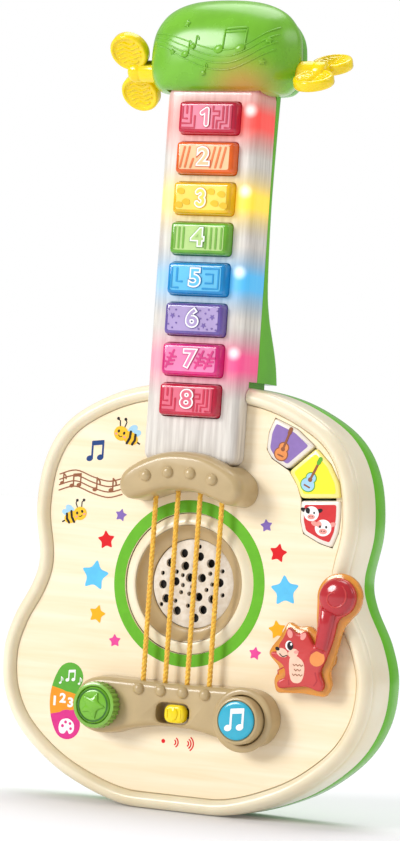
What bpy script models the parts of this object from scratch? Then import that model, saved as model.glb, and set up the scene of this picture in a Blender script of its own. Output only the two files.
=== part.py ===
"""Toy electric guitar: a two-shell casing, a lit keyboard neck, four cords and electronic controls.

The guitar stands upright: +Z runs up the neck, +X is to the right seen from the front, and the
front faces -Y.  Lengths below are millimetres measured from the face of the body (y = 0, front
negative) and from the foot (z = 0).  The helpers turn them into metres.
"""
import math

import bmesh
import bpy
from mathutils import Matrix, Vector

MM = 0.001
GAP = 0.3                      # clearance between pieces that touch or slide

# Body casing
FOOT = 22.0                    # half width of the flat foot
BODY_HALF = [(FOOT, 0), (64, 11.5), (94, 32), (108.5, 54), (112, 78), (107, 98.5), (96.5, 119),
             (93.5, 134), (97.5, 160), (94, 188), (82, 209), (60, 223.5), (34, 232), (0, 235)]
BEAD = 9.0                     # width of the rounded rim round the face
BEAD_CREST = 4.2               # how far the rim stands proud of the face
PARTING = 24.5                 # depth where the front shell meets the back shell
BACK = 46.0                    # depth of the flat back
WALL = 2.6
PANEL = 1.2                    # thickness of the printed face panel

# Neck, keys and head
NECK_HALF = 28.0
NECK_FRONT = -12.5
NECK_REAR = 10.0
FRET_BOTTOM, FRET_TOP = 190.0, 396.0
BODY_TOP = 236.5
KEY_COUNT = 8
KEY_TOP, KEY_PITCH = 378.2, 22.0
KEY_HALF = (17.9, 9.1)
KEY_RISE = 5.5
KEY_TRAVEL = 1.5
HEAD_HALF = [(0, 392), (30, 392.5), (39.5, 395.5), (43.8, 404), (44.4, 417), (42, 428.5),
             (34, 438), (20, 443.5), (0, 445)]
HEAD_SEAM = 15.0
HEAD_LEVELS = [(HEAD_SEAM, 0.9, 393.5, 442.6), (8, 0.965, 392.4, 444.4), (1, 1, 392, 445), (-5, 0.95, 392, 443.6),
               (-11, 0.88, 392.5, 440.4), (-16, 0.79, 394.5, 434.5), (-19.5, 0.66, 399, 427), (-21, 0.48, 405, 419)]
HEAD_HOLLOW = [(HEAD_SEAM + 1, 0.83, 396.2, 439.8), (8, 0.9, 395.2, 441.4), (0, 0.93, 394.9, 441.6),
               (-8, 0.83, 396, 437), (-15, 0.66, 400, 429), (-17.5, 0.48, 405, 421)]
HEAD_BACK = [(HEAD_SEAM + GAP, 0.9, 393.5, 442.6), (22, 0.885, 394, 442), (26.5, 0.82, 396, 439),
             (29.5, 0.66, 402, 431)]
HEAD_BACK_HOLLOW = [(14, 0.84, 396.4, 439.8), (22, 0.82, 397, 439), (26.8, 0.6, 404, 430)]
PEG_Y, PEG_Z, PEG_X = 5.0, 406.0, 57.0
PEG_TILT = {"peg_left": 40.0, "peg_right": -63.0}
LOBE_RADIUS, LOBE_OFFSET = 11.2, 13.4

# Strings, nut, bridge and sound hole
STRING_X = (-20.0, -6.67, 6.67, 20.0)
STRING_Y, STRING_RADIUS = -7.0, 1.5
NUT_FRONT = -22.0
NUT_HALF = [(0, 174.5), (10, 173.6), (19, 170.8), (26, 168.4), (31.8, 168.2), (36.2, 171.2), (38, 176.6),
            (36.4, 182.6), (31.5, 187.4), (23.5, 191.8), (12.5, 195.8), (0, 197)]
SOUND_Z, SOUND_RADIUS = 124.6, 38.8
BRIDGE_FRONT = -12.0
BRIDGE_HALF = [(0, 46.0), (14, 45.4), (27, 42.8), (36, 40.0), (46, 39.2), (55, 43), (60, 51),
               (60, 59), (55, 67), (46, 70.8), (30, 71), (0, 70.5)]
DOME_RADIUS, DOME_RISE = 3.3, 2.6

# Controls on the face
KNOB = (-43.0, 54.9)
MELODY = (43.0, 54.2)
SLOT_CENTRE, SLOT_HALF = (1.0, 54.0), (10.2, 5.75)
SLIDER_X = 3.2
WINDOW = [(45, 218), (59, 212.5), (70.5, 203.5), (80, 194.5), (85.5, 185), (87.3, 176), (87.6, 166),
          (87, 158), (83.8, 149.5), (76, 151.5), (66, 156.2), (63.8, 163), (63.4, 174.6), (60.5, 182),
          (55, 189.6), (44.5, 195.5), (41, 200.5), (41.8, 210)]
TONE_KEYS = [
    [(45, 218), (59, 212.5), (70.2, 203.7), (54.8, 190), (44.5, 195.5), (41, 200.5), (41.8, 210)],
    [(70.8, 203.2), (80, 194.5), (85.5, 185), (87.2, 176.4), (63.5, 174.9), (60.5, 182), (55.2, 189.3)],
    [(87.3, 175.8), (87.6, 166), (87, 158), (83.8, 149.5), (76, 151.5), (66, 156.2), (63.8, 163),
     (63.5, 174.3)]]
LEVER_PIVOT = (85.3, 90.8)
TAIL_DISC, TAIL_RADIUS = (94.0, 124.0), 10.5
SQUIRREL = [(83, 97), (80.5, 100.5), (77.5, 105.5), (74, 103), (70.5, 104), (67, 107), (65, 101),
            (61.5, 95.5), (64.5, 92), (58.5, 93), (57.5, 90.5), (66, 85.5), (67.5, 79.5), (62, 77),
            (63.5, 73), (72, 74.5), (80, 75.5), (88, 73), (90, 77), (86.5, 83.5), (90, 92),
            (93, 101.5), (94.8, 112)]
LEVER_PLATE = [(82.8, 104), (78.5, 108), (72, 106.5), (65.5, 109.5), (61.5, 101), (57, 95.5), (54.8, 91),
               (62.5, 84), (59, 77.5), (61, 70.5), (75, 71.5), (90, 70.5), (93, 77), (91, 84),
               (94, 94), (97, 108)]

# Inside the casing
BOARD_Y, BOARD_THICK = 12.0, 1.6
BATTERY_RADIUS, BATTERY_LENGTH, BATTERY_PITCH = 7.25, 50.5, 15.0
BAY_Z, BAY_HALF = 62.0, (31.5, 22.5)
BAY_FLOOR, BAY_REAR = BACK - 19.0, BACK - 2.9
DOOR_SCREW_Z = 90.0
CASE_SCREWS = [(-72, 42), (72, 42), (-34, 168), (34, 168)]

FACE_SHIFT = -(NUT_FRONT - DOME_RISE + BACK) / 2      # puts the whole depth evenly about y = 0

COLOURS = {
    "cream": ((0.90, 0.82, 0.62), 0.35, 0.0), "birch": ((0.93, 0.85, 0.66), 0.45, 0.0),
    "tan": ((0.60, 0.50, 0.34), 0.35, 0.0), "leaf": ((0.30, 0.68, 0.14), 0.22, 0.0),
    "lime": ((0.45, 0.75, 0.15), 0.3, 0.0), "speckle": ((0.88, 0.86, 0.82), 0.5, 0.0),
    "frost": ((0.93, 0.92, 0.92), 0.3, 0.0), "red": ((0.78, 0.05, 0.10), 0.2, 0.0),
    "orange": ((0.93, 0.32, 0.04), 0.2, 0.0), "yellow": ((0.97, 0.75, 0.05), 0.2, 0.0),
    "green": ((0.20, 0.62, 0.12), 0.2, 0.0), "blue": ((0.03, 0.48, 0.80), 0.2, 0.0),
    "purple": ((0.38, 0.20, 0.62), 0.2, 0.0), "pink": ((0.85, 0.10, 0.45), 0.2, 0.0),
    "cord": ((0.90, 0.62, 0.12), 0.8, 0.0), "amber": ((0.96, 0.52, 0.10), 0.25, 0.0),
    "rubber": ((0.55, 0.57, 0.60), 0.7, 0.0), "board": ((0.05, 0.30, 0.12), 0.5, 0.0),
    "black": ((0.03, 0.03, 0.03), 0.4, 0.0), "steel": ((0.60, 0.61, 0.63), 0.3, 1.0),
    "brass": ((0.80, 0.62, 0.25), 0.3, 1.0), "battery": ((0.12, 0.12, 0.14), 0.3, 0.0),
    "lamp": ((0.95, 0.95, 0.98), 0.1, 0.0)}
KEY_COLOURS = ["red", "orange", "yellow", "green", "blue", "purple", "pink", "red"]


# ---------------------------------------------------------------- scene and helpers
def clear_scene():
    for obj in list(bpy.data.objects):
        bpy.data.objects.remove(obj)


def collection(name):
    made = bpy.data.collections.new(name)
    bpy.context.scene.collection.children.link(made)
    return made


def material(colour):
    found = bpy.data.materials.get(colour)
    if found:
        return found
    made = bpy.data.materials.new(colour)
    made.use_nodes = True
    shader = made.node_tree.nodes["Principled BSDF"]
    rgb, roughness, metallic = COLOURS[colour]
    shader.inputs["Base Color"].default_value = (*rgb, 1.0)
    shader.inputs["Roughness"].default_value = roughness
    shader.inputs["Metallic"].default_value = metallic
    return made


def place(obj, colour):
    """A part gets its material and goes under the guitar; a shape with no colour is a cutter or tool."""
    obj.parent = guitar
    if colour:
        parts.objects.link(obj)
        obj.data.materials.append(material(colour))
    else:
        tools.objects.link(obj)
        obj.hide_render = True
        obj.display_type = 'WIRE'
    return obj


def from_bmesh(name, bm, colour, origin=(0, 0, 0), smooth=35):
    """The mesh is drawn about the guitar's own zero; the origin moves to where the piece pivots."""
    bmesh.ops.recalc_face_normals(bm, faces=bm.faces)
    start = Vector(origin) * MM
    bmesh.ops.translate(bm, vec=-start, verts=bm.verts)
    mesh = bpy.data.meshes.new(name)
    bm.to_mesh(mesh)
    bm.free()
    mesh.shade_smooth()
    mesh.set_sharp_from_angle(angle=math.radians(smooth))
    obj = bpy.data.objects.new(name, mesh)
    obj.location = start
    return place(obj, colour)


def smooth_line(points, steps, first, last):
    """Points along a Catmull-Rom curve; first and last are the neighbours that set the end slopes."""
    chain = [Vector(p) for p in [first, *points, last]]
    line = []
    for a, b, c, d in zip(chain, chain[1:], chain[2:], chain[3:]):
        for k in range(steps):
            t = k / steps
            line.append(0.5 * (2 * b + (c - a) * t + (2 * a - 5 * b + 4 * c - d) * t * t
                               + (3 * b - a - 3 * c + d) * t ** 3))
    return line + [chain[-2]]


def both_sides(half):
    """A right half that starts and ends at or beside x = 0, completed by its mirror image."""
    left = [Vector((-p.x, p.y)) for p in reversed(half) if p.x > 1e-6]
    return half + left


def body_outline():
    rise = BODY_HALF[1]
    first = (2 * FOOT - rise[0], rise[1])
    neck = BODY_HALF[-2]
    return both_sides(smooth_line(BODY_HALF, 3, first, (-neck[0], neck[1])))


def mirrored_outline(half, steps):
    return both_sides(smooth_line(half, steps, (-half[1][0], half[1][1]), (-half[-2][0], half[-2][1])))


def rectangle(centre, half, radius=0.0, steps=3):
    """A rectangle with round corners."""
    corners = []
    for turn, (sx, sz) in enumerate([(1, -1), (1, 1), (-1, 1), (-1, -1)]):
        hub = Vector((centre[0] + sx * (half[0] - radius), centre[1] + sz * (half[1] - radius)))
        count = steps if radius else 0
        for k in range(count + 1):
            angle = math.radians(90 * (turn - 1) + 90 * k / max(count, 1))
            corners.append(hub + radius * Vector((math.cos(angle), math.sin(angle))))
    return corners


def inset(outline, distance):
    """Each corner moves inwards so that every side moves by the distance."""
    area = sum(a.x * b.y - b.x * a.y for a, b in zip(outline, outline[1:] + outline[:1]))
    turn = 1 if area > 0 else -1
    moved = []
    for before, here, after in zip(outline[-1:] + outline[:-1], outline, outline[1:] + outline[:1]):
        side_a = (here - before).normalized()
        side_b = (after - here).normalized()
        normal_a = Vector((-side_a.y, side_a.x)) * turn
        normal_b = Vector((-side_b.y, side_b.x)) * turn
        middle = (normal_a + normal_b).normalized()
        moved.append(here + middle * distance / max(middle.dot(normal_a), 0.35))
    return moved


def skin(bm, rings):
    """Closed surface through rings of equal counts, with a flat cap at each end."""
    made = [[bm.verts.new(Vector(point) * MM) for point in ring] for ring in rings]
    for one, two in zip(made, made[1:]):
        for k in range(len(one)):
            bm.faces.new((one[k - 1], one[k], two[k], two[k - 1]))
    bm.faces.new(made[0])
    bm.faces.new(made[-1])


def slab(name, outline, levels, colour=None, origin=(0, 0, 0)):
    """An outline in the face plane taken through (depth, inset) levels."""
    outline = [Vector(p) for p in outline]
    bm = bmesh.new()
    skin(bm, [[(p.x, depth, p.y) for p in inset(outline, amount)] for depth, amount in levels])
    return from_bmesh(name, bm, colour, origin)


def box(name, low, high, colour=None, bevel=0.0):
    bm = bmesh.new()
    bmesh.ops.create_cube(bm, size=1.0)
    size = [(b - a) * MM for a, b in zip(low, high)]
    middle = Vector([(a + b) / 2 for a, b in zip(low, high)]) * MM
    bmesh.ops.scale(bm, vec=size, verts=bm.verts)
    bmesh.ops.translate(bm, vec=middle, verts=bm.verts)
    obj = from_bmesh(name, bm, colour)
    if bevel:
        rounding = obj.modifiers.new("edges", 'BEVEL')
        rounding.width = bevel * MM
        rounding.segments = 2
    return obj


def turned(name, profile, at, colour=None, steps=32, facing='FRONT'):
    """A turned piece from (radius, height) points, top first; height runs towards the facing side."""
    mesh = bpy.data.meshes.new(name)
    points = [(radius * MM, 0, height * MM) for radius, height in profile]
    edges = [(k, k + 1) for k in range(len(points) - 1)]
    if profile[0][0] > 0:
        edges.append((len(points) - 1, 0))
    mesh.from_pydata(points, edges, [])
    obj = bpy.data.objects.new(name, mesh)
    screw = obj.modifiers.new("turn", 'SCREW')
    screw.steps = screw.render_steps = steps
    screw.use_merge_vertices = True
    screw.merge_threshold = 0.00001
    screw.use_smooth_shade = True
    obj.location = Vector(at) * MM
    obj.rotation_euler = {'FRONT': (math.pi / 2, 0, 0), 'BACK': (-math.pi / 2, 0, 0),
                          'RIGHT': (0, math.pi / 2, 0), 'LEFT': (0, -math.pi / 2, 0)}[facing]
    return place(obj, colour)


def disc(name, radius, at, thick, colour=None, steps=32, facing='FRONT'):
    return turned(name, [(0, thick), (radius, thick), (radius, 0), (0, 0)], at, colour, steps, facing)


def combine(target, kind, *others):
    for other in others:
        step = target.modifiers.new(kind.lower(), 'BOOLEAN')
        step.operation = kind
        step.object = other
        step.solver = 'EXACT'
    return target


def cut(target, *others):
    return combine(target, 'DIFFERENCE', *others)


def join(target, *others):
    return combine(target, 'UNION', *others)


def key_height(index):
    return KEY_TOP - KEY_PITCH * index


# ---------------------------------------------------------------- body casing
def make_casing():
    outline = body_outline()
    rim = [(PARTING, 0), (5.2, 0), (3.2, 0.8), (1.0, 0.3), (-2.2, 1.6), (-BEAD_CREST, 4.6), (-2.6, 7.4),
           (PANEL + GAP, BEAD)]
    front = slab("front_shell", outline, rim, "cream")
    hollow = slab("front_hollow", outline, [(PARTING + 1, WALL), (PANEL + GAP + WALL, WALL)])
    bosses = [disc(f"front_boss_{k}", 4.0, (x, PARTING - 0.5, z), 21, steps=12)
              for k, (x, z) in enumerate(CASE_SCREWS)]
    bores = [disc(f"boss_bore_{k}", 1.8, (x, PARTING + 1, z), 15, steps=12) for k, (x, z) in enumerate(CASE_SCREWS)]
    openings = face_openings()
    cut(front, hollow)
    join(front, *bosses)
    cut(front, *bores, *openings,
        box("bead_gap", (-NECK_HALF - 0.4, -8, 186), (NECK_HALF + 0.4, PANEL + GAP, 240)),
        box("front_heel_gap", (-25, 4.6, 222), (25, PARTING + 2, 240)))

    panel = slab("face_panel", outline, [(PANEL, BEAD + GAP), (0, BEAD + 0.8)], "birch")
    cut(panel, *openings)

    back = slab("back_shell", outline, [(PARTING + GAP, 0), (38, 0), (42.5, 1.7), (45.1, 4.8),
                                        (BACK, 9)], "lime")
    inner = slab("back_hollow", outline, [(PARTING - 1, WALL), (38, 3), (BACK - WALL, 10)])
    wells = [disc(f"screw_well_{k}", 5.6, (x, BACK - 1, z), BACK - PARTING - 1.5, steps=16)
             for k, (x, z) in enumerate(CASE_SCREWS)]
    recesses = [turned(f"screw_recess_{k}", [(0, 23), (1.9, 23), (1.9, 17), (3.7, 17), (3.7, -1), (0, -1)],
                       (x, BACK, z), steps=16) for k, (x, z) in enumerate(CASE_SCREWS)]
    door_hole = box("door_hole", (-BAY_HALF[0] + 0.5, BACK - 7, BAY_Z - BAY_HALF[1]),
                    (BAY_HALF[0] - 0.5, BACK + 3, BAY_Z + BAY_HALF[1]))
    tab_hole = box("tab_hole", (-7, BACK - 7, BAY_Z + BAY_HALF[1] - 1), (7, BACK + 3, DOOR_SCREW_Z + 6))
    cut(back, inner)
    join(back, *wells)
    cut(back, *recesses, door_hole, tab_hole, box("back_heel_gap", (-25, 20, 222), (25, 28.2, 240)))
    for k, (x, z) in enumerate(CASE_SCREWS):
        turned(f"case_screw_{k + 1}", [(0, 0), (3.2, 0), (3.2, -2.2), (1.4, -2.2), (1.4, -17), (0, -17)],
               (x, BACK - 14.4, z), "steel", 10, 'BACK')


def face_openings():
    """Holes that go through both the face panel and the wall behind it."""
    return [
        disc("sound_opening", SOUND_RADIUS, (0, 8, SOUND_Z), 12, steps=40),
        slab("tone_opening", WINDOW, [(8, -0.1), (-4, -0.1)]),
        disc("knob_opening", 3.6, (KNOB[0], 8, KNOB[1]), 12, steps=16),
        disc("melody_opening", 4.6, (MELODY[0], 8, MELODY[1]), 12, steps=16),
        slab("slider_opening", rectangle(SLOT_CENTRE, (8.5, 2.8)), [(8, 0), (-4, 0)]),
        disc("lever_opening", 3.8, (LEVER_PIVOT[0], 8, LEVER_PIVOT[1]), 12, steps=16),
        box("cable_opening", (-9, -4, 204), (9, 8, 218))]


# ---------------------------------------------------------------- sound hole and speaker
def make_sound_hole():
    ring = [(32.2, 0.6), (34, 0.7), (36.6, -0.2), (SOUND_RADIUS - 0.4, -1.2), (SOUND_RADIUS - 0.4, -4),
            (32.2, -4)]
    turned("sound_ring", ring, (0, 0, SOUND_Z), "cream", 40)
    cone = [(24.6, -5.2), (31.9, 0.3), (31.9, -5), (33.5, -5), (33.5, -7.5), (24.6, -7.5)]
    turned("sound_cone", cone, (0, 0, SOUND_Z), "tan", 36)
    grille = turned("speaker_grille", [(0, -4.4), (14, -4.8), (24.3, -5.8), (24.3, -7.3), (0, -7.3)],
                    (0, 0, SOUND_Z), "speckle", 28)
    holes = []
    for ring_radius, count, hole_radius, start in ((0, 1, 2.0, 0), (8.5, 5, 2.4, 20), (17, 8, 1.9, 0)):
        for k in range(count):
            angle = math.radians(start + 360 * k / count)
            at = (ring_radius * math.cos(angle), 9, SOUND_Z + ring_radius * math.sin(angle))
            holes.append(disc(f"grille_hole_{len(holes)}", hole_radius, at, 8, steps=6))
    cut(grille, *holes)
    turned("speaker", [(0, -11), (20, -8.2), (27, -8), (27, -10), (21, -14), (15, -17), (15, -24), (0, -24)],
           (0, 0, SOUND_Z), "black", 32)


# ---------------------------------------------------------------- neck
def make_neck():
    outline = rectangle((0, (FRET_BOTTOM + FRET_TOP) / 2), (NECK_HALF, (FRET_TOP - FRET_BOTTOM) / 2), 5.0)
    board = slab("fretboard", outline, [(NECK_REAR, 0), (NECK_FRONT + 4.5, 0), (NECK_FRONT + 2.2, 0.6),
                                        (NECK_FRONT + 0.6, 2.2), (NECK_FRONT, 4.4)], "frost")
    windows = [slab(f"key_window_{k + 1}", rectangle((0, key_height(k)), (KEY_HALF[0] + GAP,
               KEY_HALF[1] + GAP), 2.8, 2), [(-8, 0), (-16, 0)]) for k in range(KEY_COUNT)]
    cut(board, box("over_body", (-32, -0.4, 180), (32, 20, BODY_TOP)),
        box("fret_hollow", (-25.5, NECK_FRONT + 2.5, FRET_BOTTOM + 3), (25.5, 20, FRET_TOP - 3)), *windows)
    box("key_membrane", (-23, -6.3, 199), (20.4, -5.3, 391), "rubber")
    box("neck_board", (-24.5, -5, 196), (24.5, -3.4, 391.5), "board")
    for k in range(4):
        turned(f"led_{k + 1}", [(0, 4.4), (1.0, 4.1), (1.6, 3.0), (1.6, 0), (0, 0)],
               (22.9, -5.3, key_height(2 * k) + 7.5), "lamp", 12)
    for k in range(KEY_COUNT):
        make_key(k)


def make_key(index):
    outline = rectangle((0, key_height(index)), KEY_HALF, 2.8, 2)
    front = NECK_FRONT - KEY_RISE
    levels = [(-8.0, -1.0), (-9.5, -1.0), (-9.5, 0), (NECK_FRONT, 0), (front + 1.8, 0.9),
              (front + 0.5, 1.4), (front, 2.4)]
    slab(f"key_{index + 1}", outline, levels, KEY_COLOURS[index], (0, -8.0, key_height(index)))


def neck_section(height, rear):
    """Half-round back of the neck, from its flat front edge to its rear face."""
    half = [(NECK_HALF, NECK_REAR + GAP), (NECK_HALF, rear - 7), (NECK_HALF - 2.4, rear - 3),
            (NECK_HALF - 7, rear - 0.6), (14, rear)]
    ring = half + [(-x, y) for x, y in reversed(half)]
    return [(x, y, height) for x, y in ring]


def make_neck_shell():
    sections = [(BODY_TOP, 43.5), (246, 41), (255, 37), (264, 32), (274, 27), (290, 22.8), (330, 20.4),
                (370, 21.4), (400, 23)]
    bm = bmesh.new()
    skin(bm, [neck_section(height, rear) for height, rear in sections])
    shell = from_bmesh("neck_shell", bm, "lime")
    head = pillow("head_back", HEAD_BACK)
    heel = box("heel", (-24.5, 5, 206), (24.5, 27.8, BODY_TOP + 2))
    join(shell, head, heel)
    hollow = box("neck_hollow", (-25.4, 8, BODY_TOP + 4), (25.4, 16.4, 396))
    head_hollow = pillow("head_back_hollow", HEAD_BACK_HOLLOW)
    cut(shell, hollow, head_hollow, box("under_head", (-32, 9, 391.6), (32, HEAD_SEAM + GAP, 402)),
        box("heel_hollow", (-22, 2, 208), (22, 25, BODY_TOP + 6)))


def pillow(name, levels, colour=None):
    """The head's outline narrowed and lowered towards the front; a level is depth, width, foot, top."""
    outline = mirrored_outline(HEAD_HALF, 3)
    foot, top = HEAD_HALF[0][1], HEAD_HALF[-1][1]
    bm = bmesh.new()
    skin(bm, [[(p.x * width, depth, low + (p.y - foot) * (high - low) / (top - foot)) for p in outline]
              for depth, width, low, high in levels])
    return from_bmesh(name, bm, colour)


def make_head():
    cover = pillow("head_cover", HEAD_LEVELS, "leaf")
    hollow = pillow("head_hollow", HEAD_HOLLOW)
    peg_holes = [disc(f"peg_hole_{side}", 6.7, (side * 30, PEG_Y, PEG_Z), 20, steps=24,
                      facing='RIGHT' if side > 0 else 'LEFT') for side in (-1, 1)]
    cut(cover, hollow, box("fret_notch", (-NECK_HALF - GAP, NECK_FRONT - GAP, 380),
                           (NECK_HALF + GAP, NECK_REAR + 0.6, FRET_TOP + 0.4)), *peg_holes)
    for name, side in (("peg_left", -1), ("peg_right", 1)):
        make_peg(name, side)


def make_peg(name, side):
    """A barrel along x with a flat paddle of two round lobes; the piece turns about the barrel."""
    facing = 'RIGHT' if side > 0 else 'LEFT'
    barrel = turned(name, [(0, 3), (4.5, 3), (6.3, 0.5), (6.3, -21.8), (7.3, -21.8), (7.3, -23.4), (0, -23.4)],
                    (side * PEG_X, PEG_Y, PEG_Z), "yellow", 16, facing)
    tilt = math.radians(PEG_TILT[name])
    face = LOBE_RADIUS - 2.7
    for end in (-1, 1):
        lobe = turned(f"{name}_lobe_{end}", [(0, 2.2), (face, 2.2), (face + 0.6, 3), (face + 2, 3),
                                              (LOBE_RADIUS, 2.2), (LOBE_RADIUS, -2.2), (face + 2, -3),
                                              (face + 0.6, -3), (face, -2.2), (0, -2.2)], (0, 0, 0), None, 16)
        offset = Vector((0, -math.sin(tilt), math.cos(tilt))) * end * LOBE_OFFSET
        lobe.location = (Vector((side * PEG_X, PEG_Y, PEG_Z)) + offset) * MM
        lobe.rotation_euler = (Matrix.Rotation(tilt, 3, 'X') @ Matrix.Rotation(math.pi / 2, 3, 'X')).to_euler()
        join(barrel, lobe)


# ---------------------------------------------------------------- strings, nut and bridge
def dome_row(prefix, height, front):
    return [turned(f"{prefix}_{k}", [(0, DOME_RISE), (1.9, 2.1), (DOME_RADIUS, 0), (DOME_RADIUS, -1),
                                     (0, -1)], (x, front, height(x)), steps=10)
            for k, x in enumerate(STRING_X)]


def string_holes(prefix, low, high):
    """Round holes along z for the cords."""
    holes = []
    for k, x in enumerate(STRING_X):
        bm = bmesh.new()
        bmesh.ops.create_cone(bm, cap_ends=True, segments=10, radius1=(STRING_RADIUS + 0.4) * MM,
                              radius2=(STRING_RADIUS + 0.4) * MM, depth=(high - low) * MM,
                              matrix=Matrix.Translation(Vector((x, STRING_Y, (low + high) / 2)) * MM))
        holes.append(from_bmesh(f"{prefix}_{k}", bm, None))
    return holes


def make_nut():
    nut = slab("string_nut", mirrored_outline(NUT_HALF, 3),
               [(-GAP, 0), (-14, 0.8), (-18.5, 2.0), (-21, 3.4), (NUT_FRONT, 4.8)], "tan")
    join(nut, *dome_row("nut_dome", lambda x: 184.8 - 0.0072 * x * x, NUT_FRONT))
    cut(nut, box("fret_end", (-NECK_HALF - 0.4, NECK_FRONT - 0.4, FRET_BOTTOM - 0.4), (NECK_HALF + 0.4, 5, 205)),
        *string_holes("nut_hole", 160, 181))


def make_bridge():
    outline = mirrored_outline(BRIDGE_HALF, 3)
    bridge = slab("bridge", outline, [(-GAP, 0), (-9.5, 0.9), (-11.4, 1.9), (BRIDGE_FRONT, 3.6)], "tan")
    hollow = slab("bridge_hollow", outline, [(1, 2.6), (-9.4, 3.4)])
    cut(bridge, hollow)
    join(bridge, *dome_row("bridge_dome", lambda x: 65.7, BRIDGE_FRONT))
    cut(bridge, *string_holes("bridge_hole", 66.2, 78),
        disc("knob_hole", 3.6, (KNOB[0], 2, KNOB[1]), 18, steps=16),
        disc("melody_hole", 13.5, (MELODY[0], 2, MELODY[1]), 18, steps=32),
        slab("volume_slot", rectangle(SLOT_CENTRE, SLOT_HALF, 5.0), [(2, 0), (-16, 0)]))


def make_strings():
    for k, x in enumerate(STRING_X):
        curve = bpy.data.curves.new(f"string_{k + 1}", 'CURVE')
        curve.dimensions = '3D'
        curve.bevel_depth = STRING_RADIUS * MM
        curve.bevel_resolution = 2
        curve.use_fill_caps = True
        line = curve.splines.new('POLY')
        heights = (67.0, 100.0, 140.0, 180.0)
        line.points.add(len(heights) - 1)
        for point, height in zip(line.points, heights):
            point.co = (x * MM, STRING_Y * MM, height * MM, 1)
        cord = bpy.data.objects.new(f"string_{k + 1}", curve)
        place(cord, "cord")


# ---------------------------------------------------------------- controls
def make_controls():
    turned("mode_knob", [(0, 5.6), (10.3, 5.6), (10.3, 7.6), (11.6, 7.6), (12.75, 6.6), (12.75, 0), (3.1, 0),
                         (3.1, -18), (0, -18)], (KNOB[0], BRIDGE_FRONT - 0.4, KNOB[1]), "green", 32)
    turned("mode_knob_cap", [(0, 2.4), (9.4, 2.2), (10, 1.4), (10, 0), (0, 0)],
           (KNOB[0], BRIDGE_FRONT - 6.3, KNOB[1]), "leaf", 32)
    switch = box("mode_switch", (KNOB[0] - 8, 4.6, KNOB[1] - 8), (KNOB[0] + 8, 11.7, KNOB[1] + 8), "black")
    cut(switch, disc("shaft_socket", 3.5, (KNOB[0], 8, KNOB[1]), 10, steps=16))

    turned("melody_button", [(0, 15.4), (10.8, 15.4), (10.8, 16.4), (12.1, 16.4), (12.9, 15.6), (12.9, 0),
                             (4, 0), (4, -9), (0, -9)], (MELODY[0], -3, MELODY[1]), "tan", 32)
    turned("melody_disc", [(0, 1.6), (10, 1.5), (10.5, 1.1), (10.5, 0), (0, 0)],
           (MELODY[0], -18.7, MELODY[1]), "blue", 32)
    box("melody_switch", (MELODY[0] - 4, 8.8, MELODY[1] - 4), (MELODY[0] + 4, 11.7, MELODY[1] + 4), "black")

    slider = slab("volume_slider", rectangle((SLIDER_X, SLOT_CENTRE[1]), (6.2, 5.0), 4.2),
                  [(-9.6, 0), (-13, 0.3), (-14.2, 1.2)], "yellow", (SLIDER_X, -9.6, SLOT_CENTRE[1]))
    join(slider, box("slider_stem", (SLIDER_X - 1.8, -10.5, SLOT_CENTRE[1] - 1.8),
                     (SLIDER_X + 1.8, 5.6, SLOT_CENTRE[1] + 1.8)))
    switch = box("volume_switch", (-10, 3.4 + PANEL, 48), (12, 11.7, 60), "black")
    cut(switch, box("stem_track", (-6, 2, 51.6), (8.2, 6.2, 56.4)))

    for k, outline in enumerate(TONE_KEYS):
        middle = sum((Vector(p) for p in outline), Vector((0, 0))) / len(outline)
        slab(f"tone_key_{k + 1}", outline, [(6.6, 0.35), (-0.4, 0.35), (-1.1, 1.1)],
             "frost", (middle.x, 0, middle.y))
    box("tone_board", (40, 9, 146), (78, 10.6, 204), "board")
    make_lever()


def tail_arc(radius, start, end, count):
    """Points round the spiral disc at the tip of the tail, clockwise, in degrees."""
    turn = [math.radians(start + (end - start) * k / count) for k in range(count + 1)]
    return [(TAIL_DISC[0] + radius * math.cos(a), TAIL_DISC[1] + radius * math.sin(a)) for a in turn]


def make_lever():
    """The squirrel turns about a post at the root of its tail; the amber plate behind it is the lever."""
    pivot = (LEVER_PIVOT[0], 0, LEVER_PIVOT[1])
    figure = SQUIRREL + tail_arc(TAIL_RADIUS, -55, 195, 14) + [(84.0, 112)]
    backing = LEVER_PLATE + tail_arc(TAIL_RADIUS + 2.4, -50, 190, 14) + [(81.6, 112)]
    slab("squirrel", figure, [(-10.8, 0), (-13.2, 0.2), (-14.0, 0.9)], "red", pivot)
    slab("lever_plate", backing, [(-6.4, 0.5), (-7.2, 0), (-9.8, 0), (-10.5, 0.5)], "amber", pivot)
    turned("lever_pin", [(0, 6.1), (6, 6.1), (6, 0.6), (3.3, 0.6), (3.3, -6.2), (5.4, -6.2), (5.4, -7.6),
                         (3.3, -7.6), (3.3, -9), (0, -9)], pivot, "amber", 24)


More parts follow.
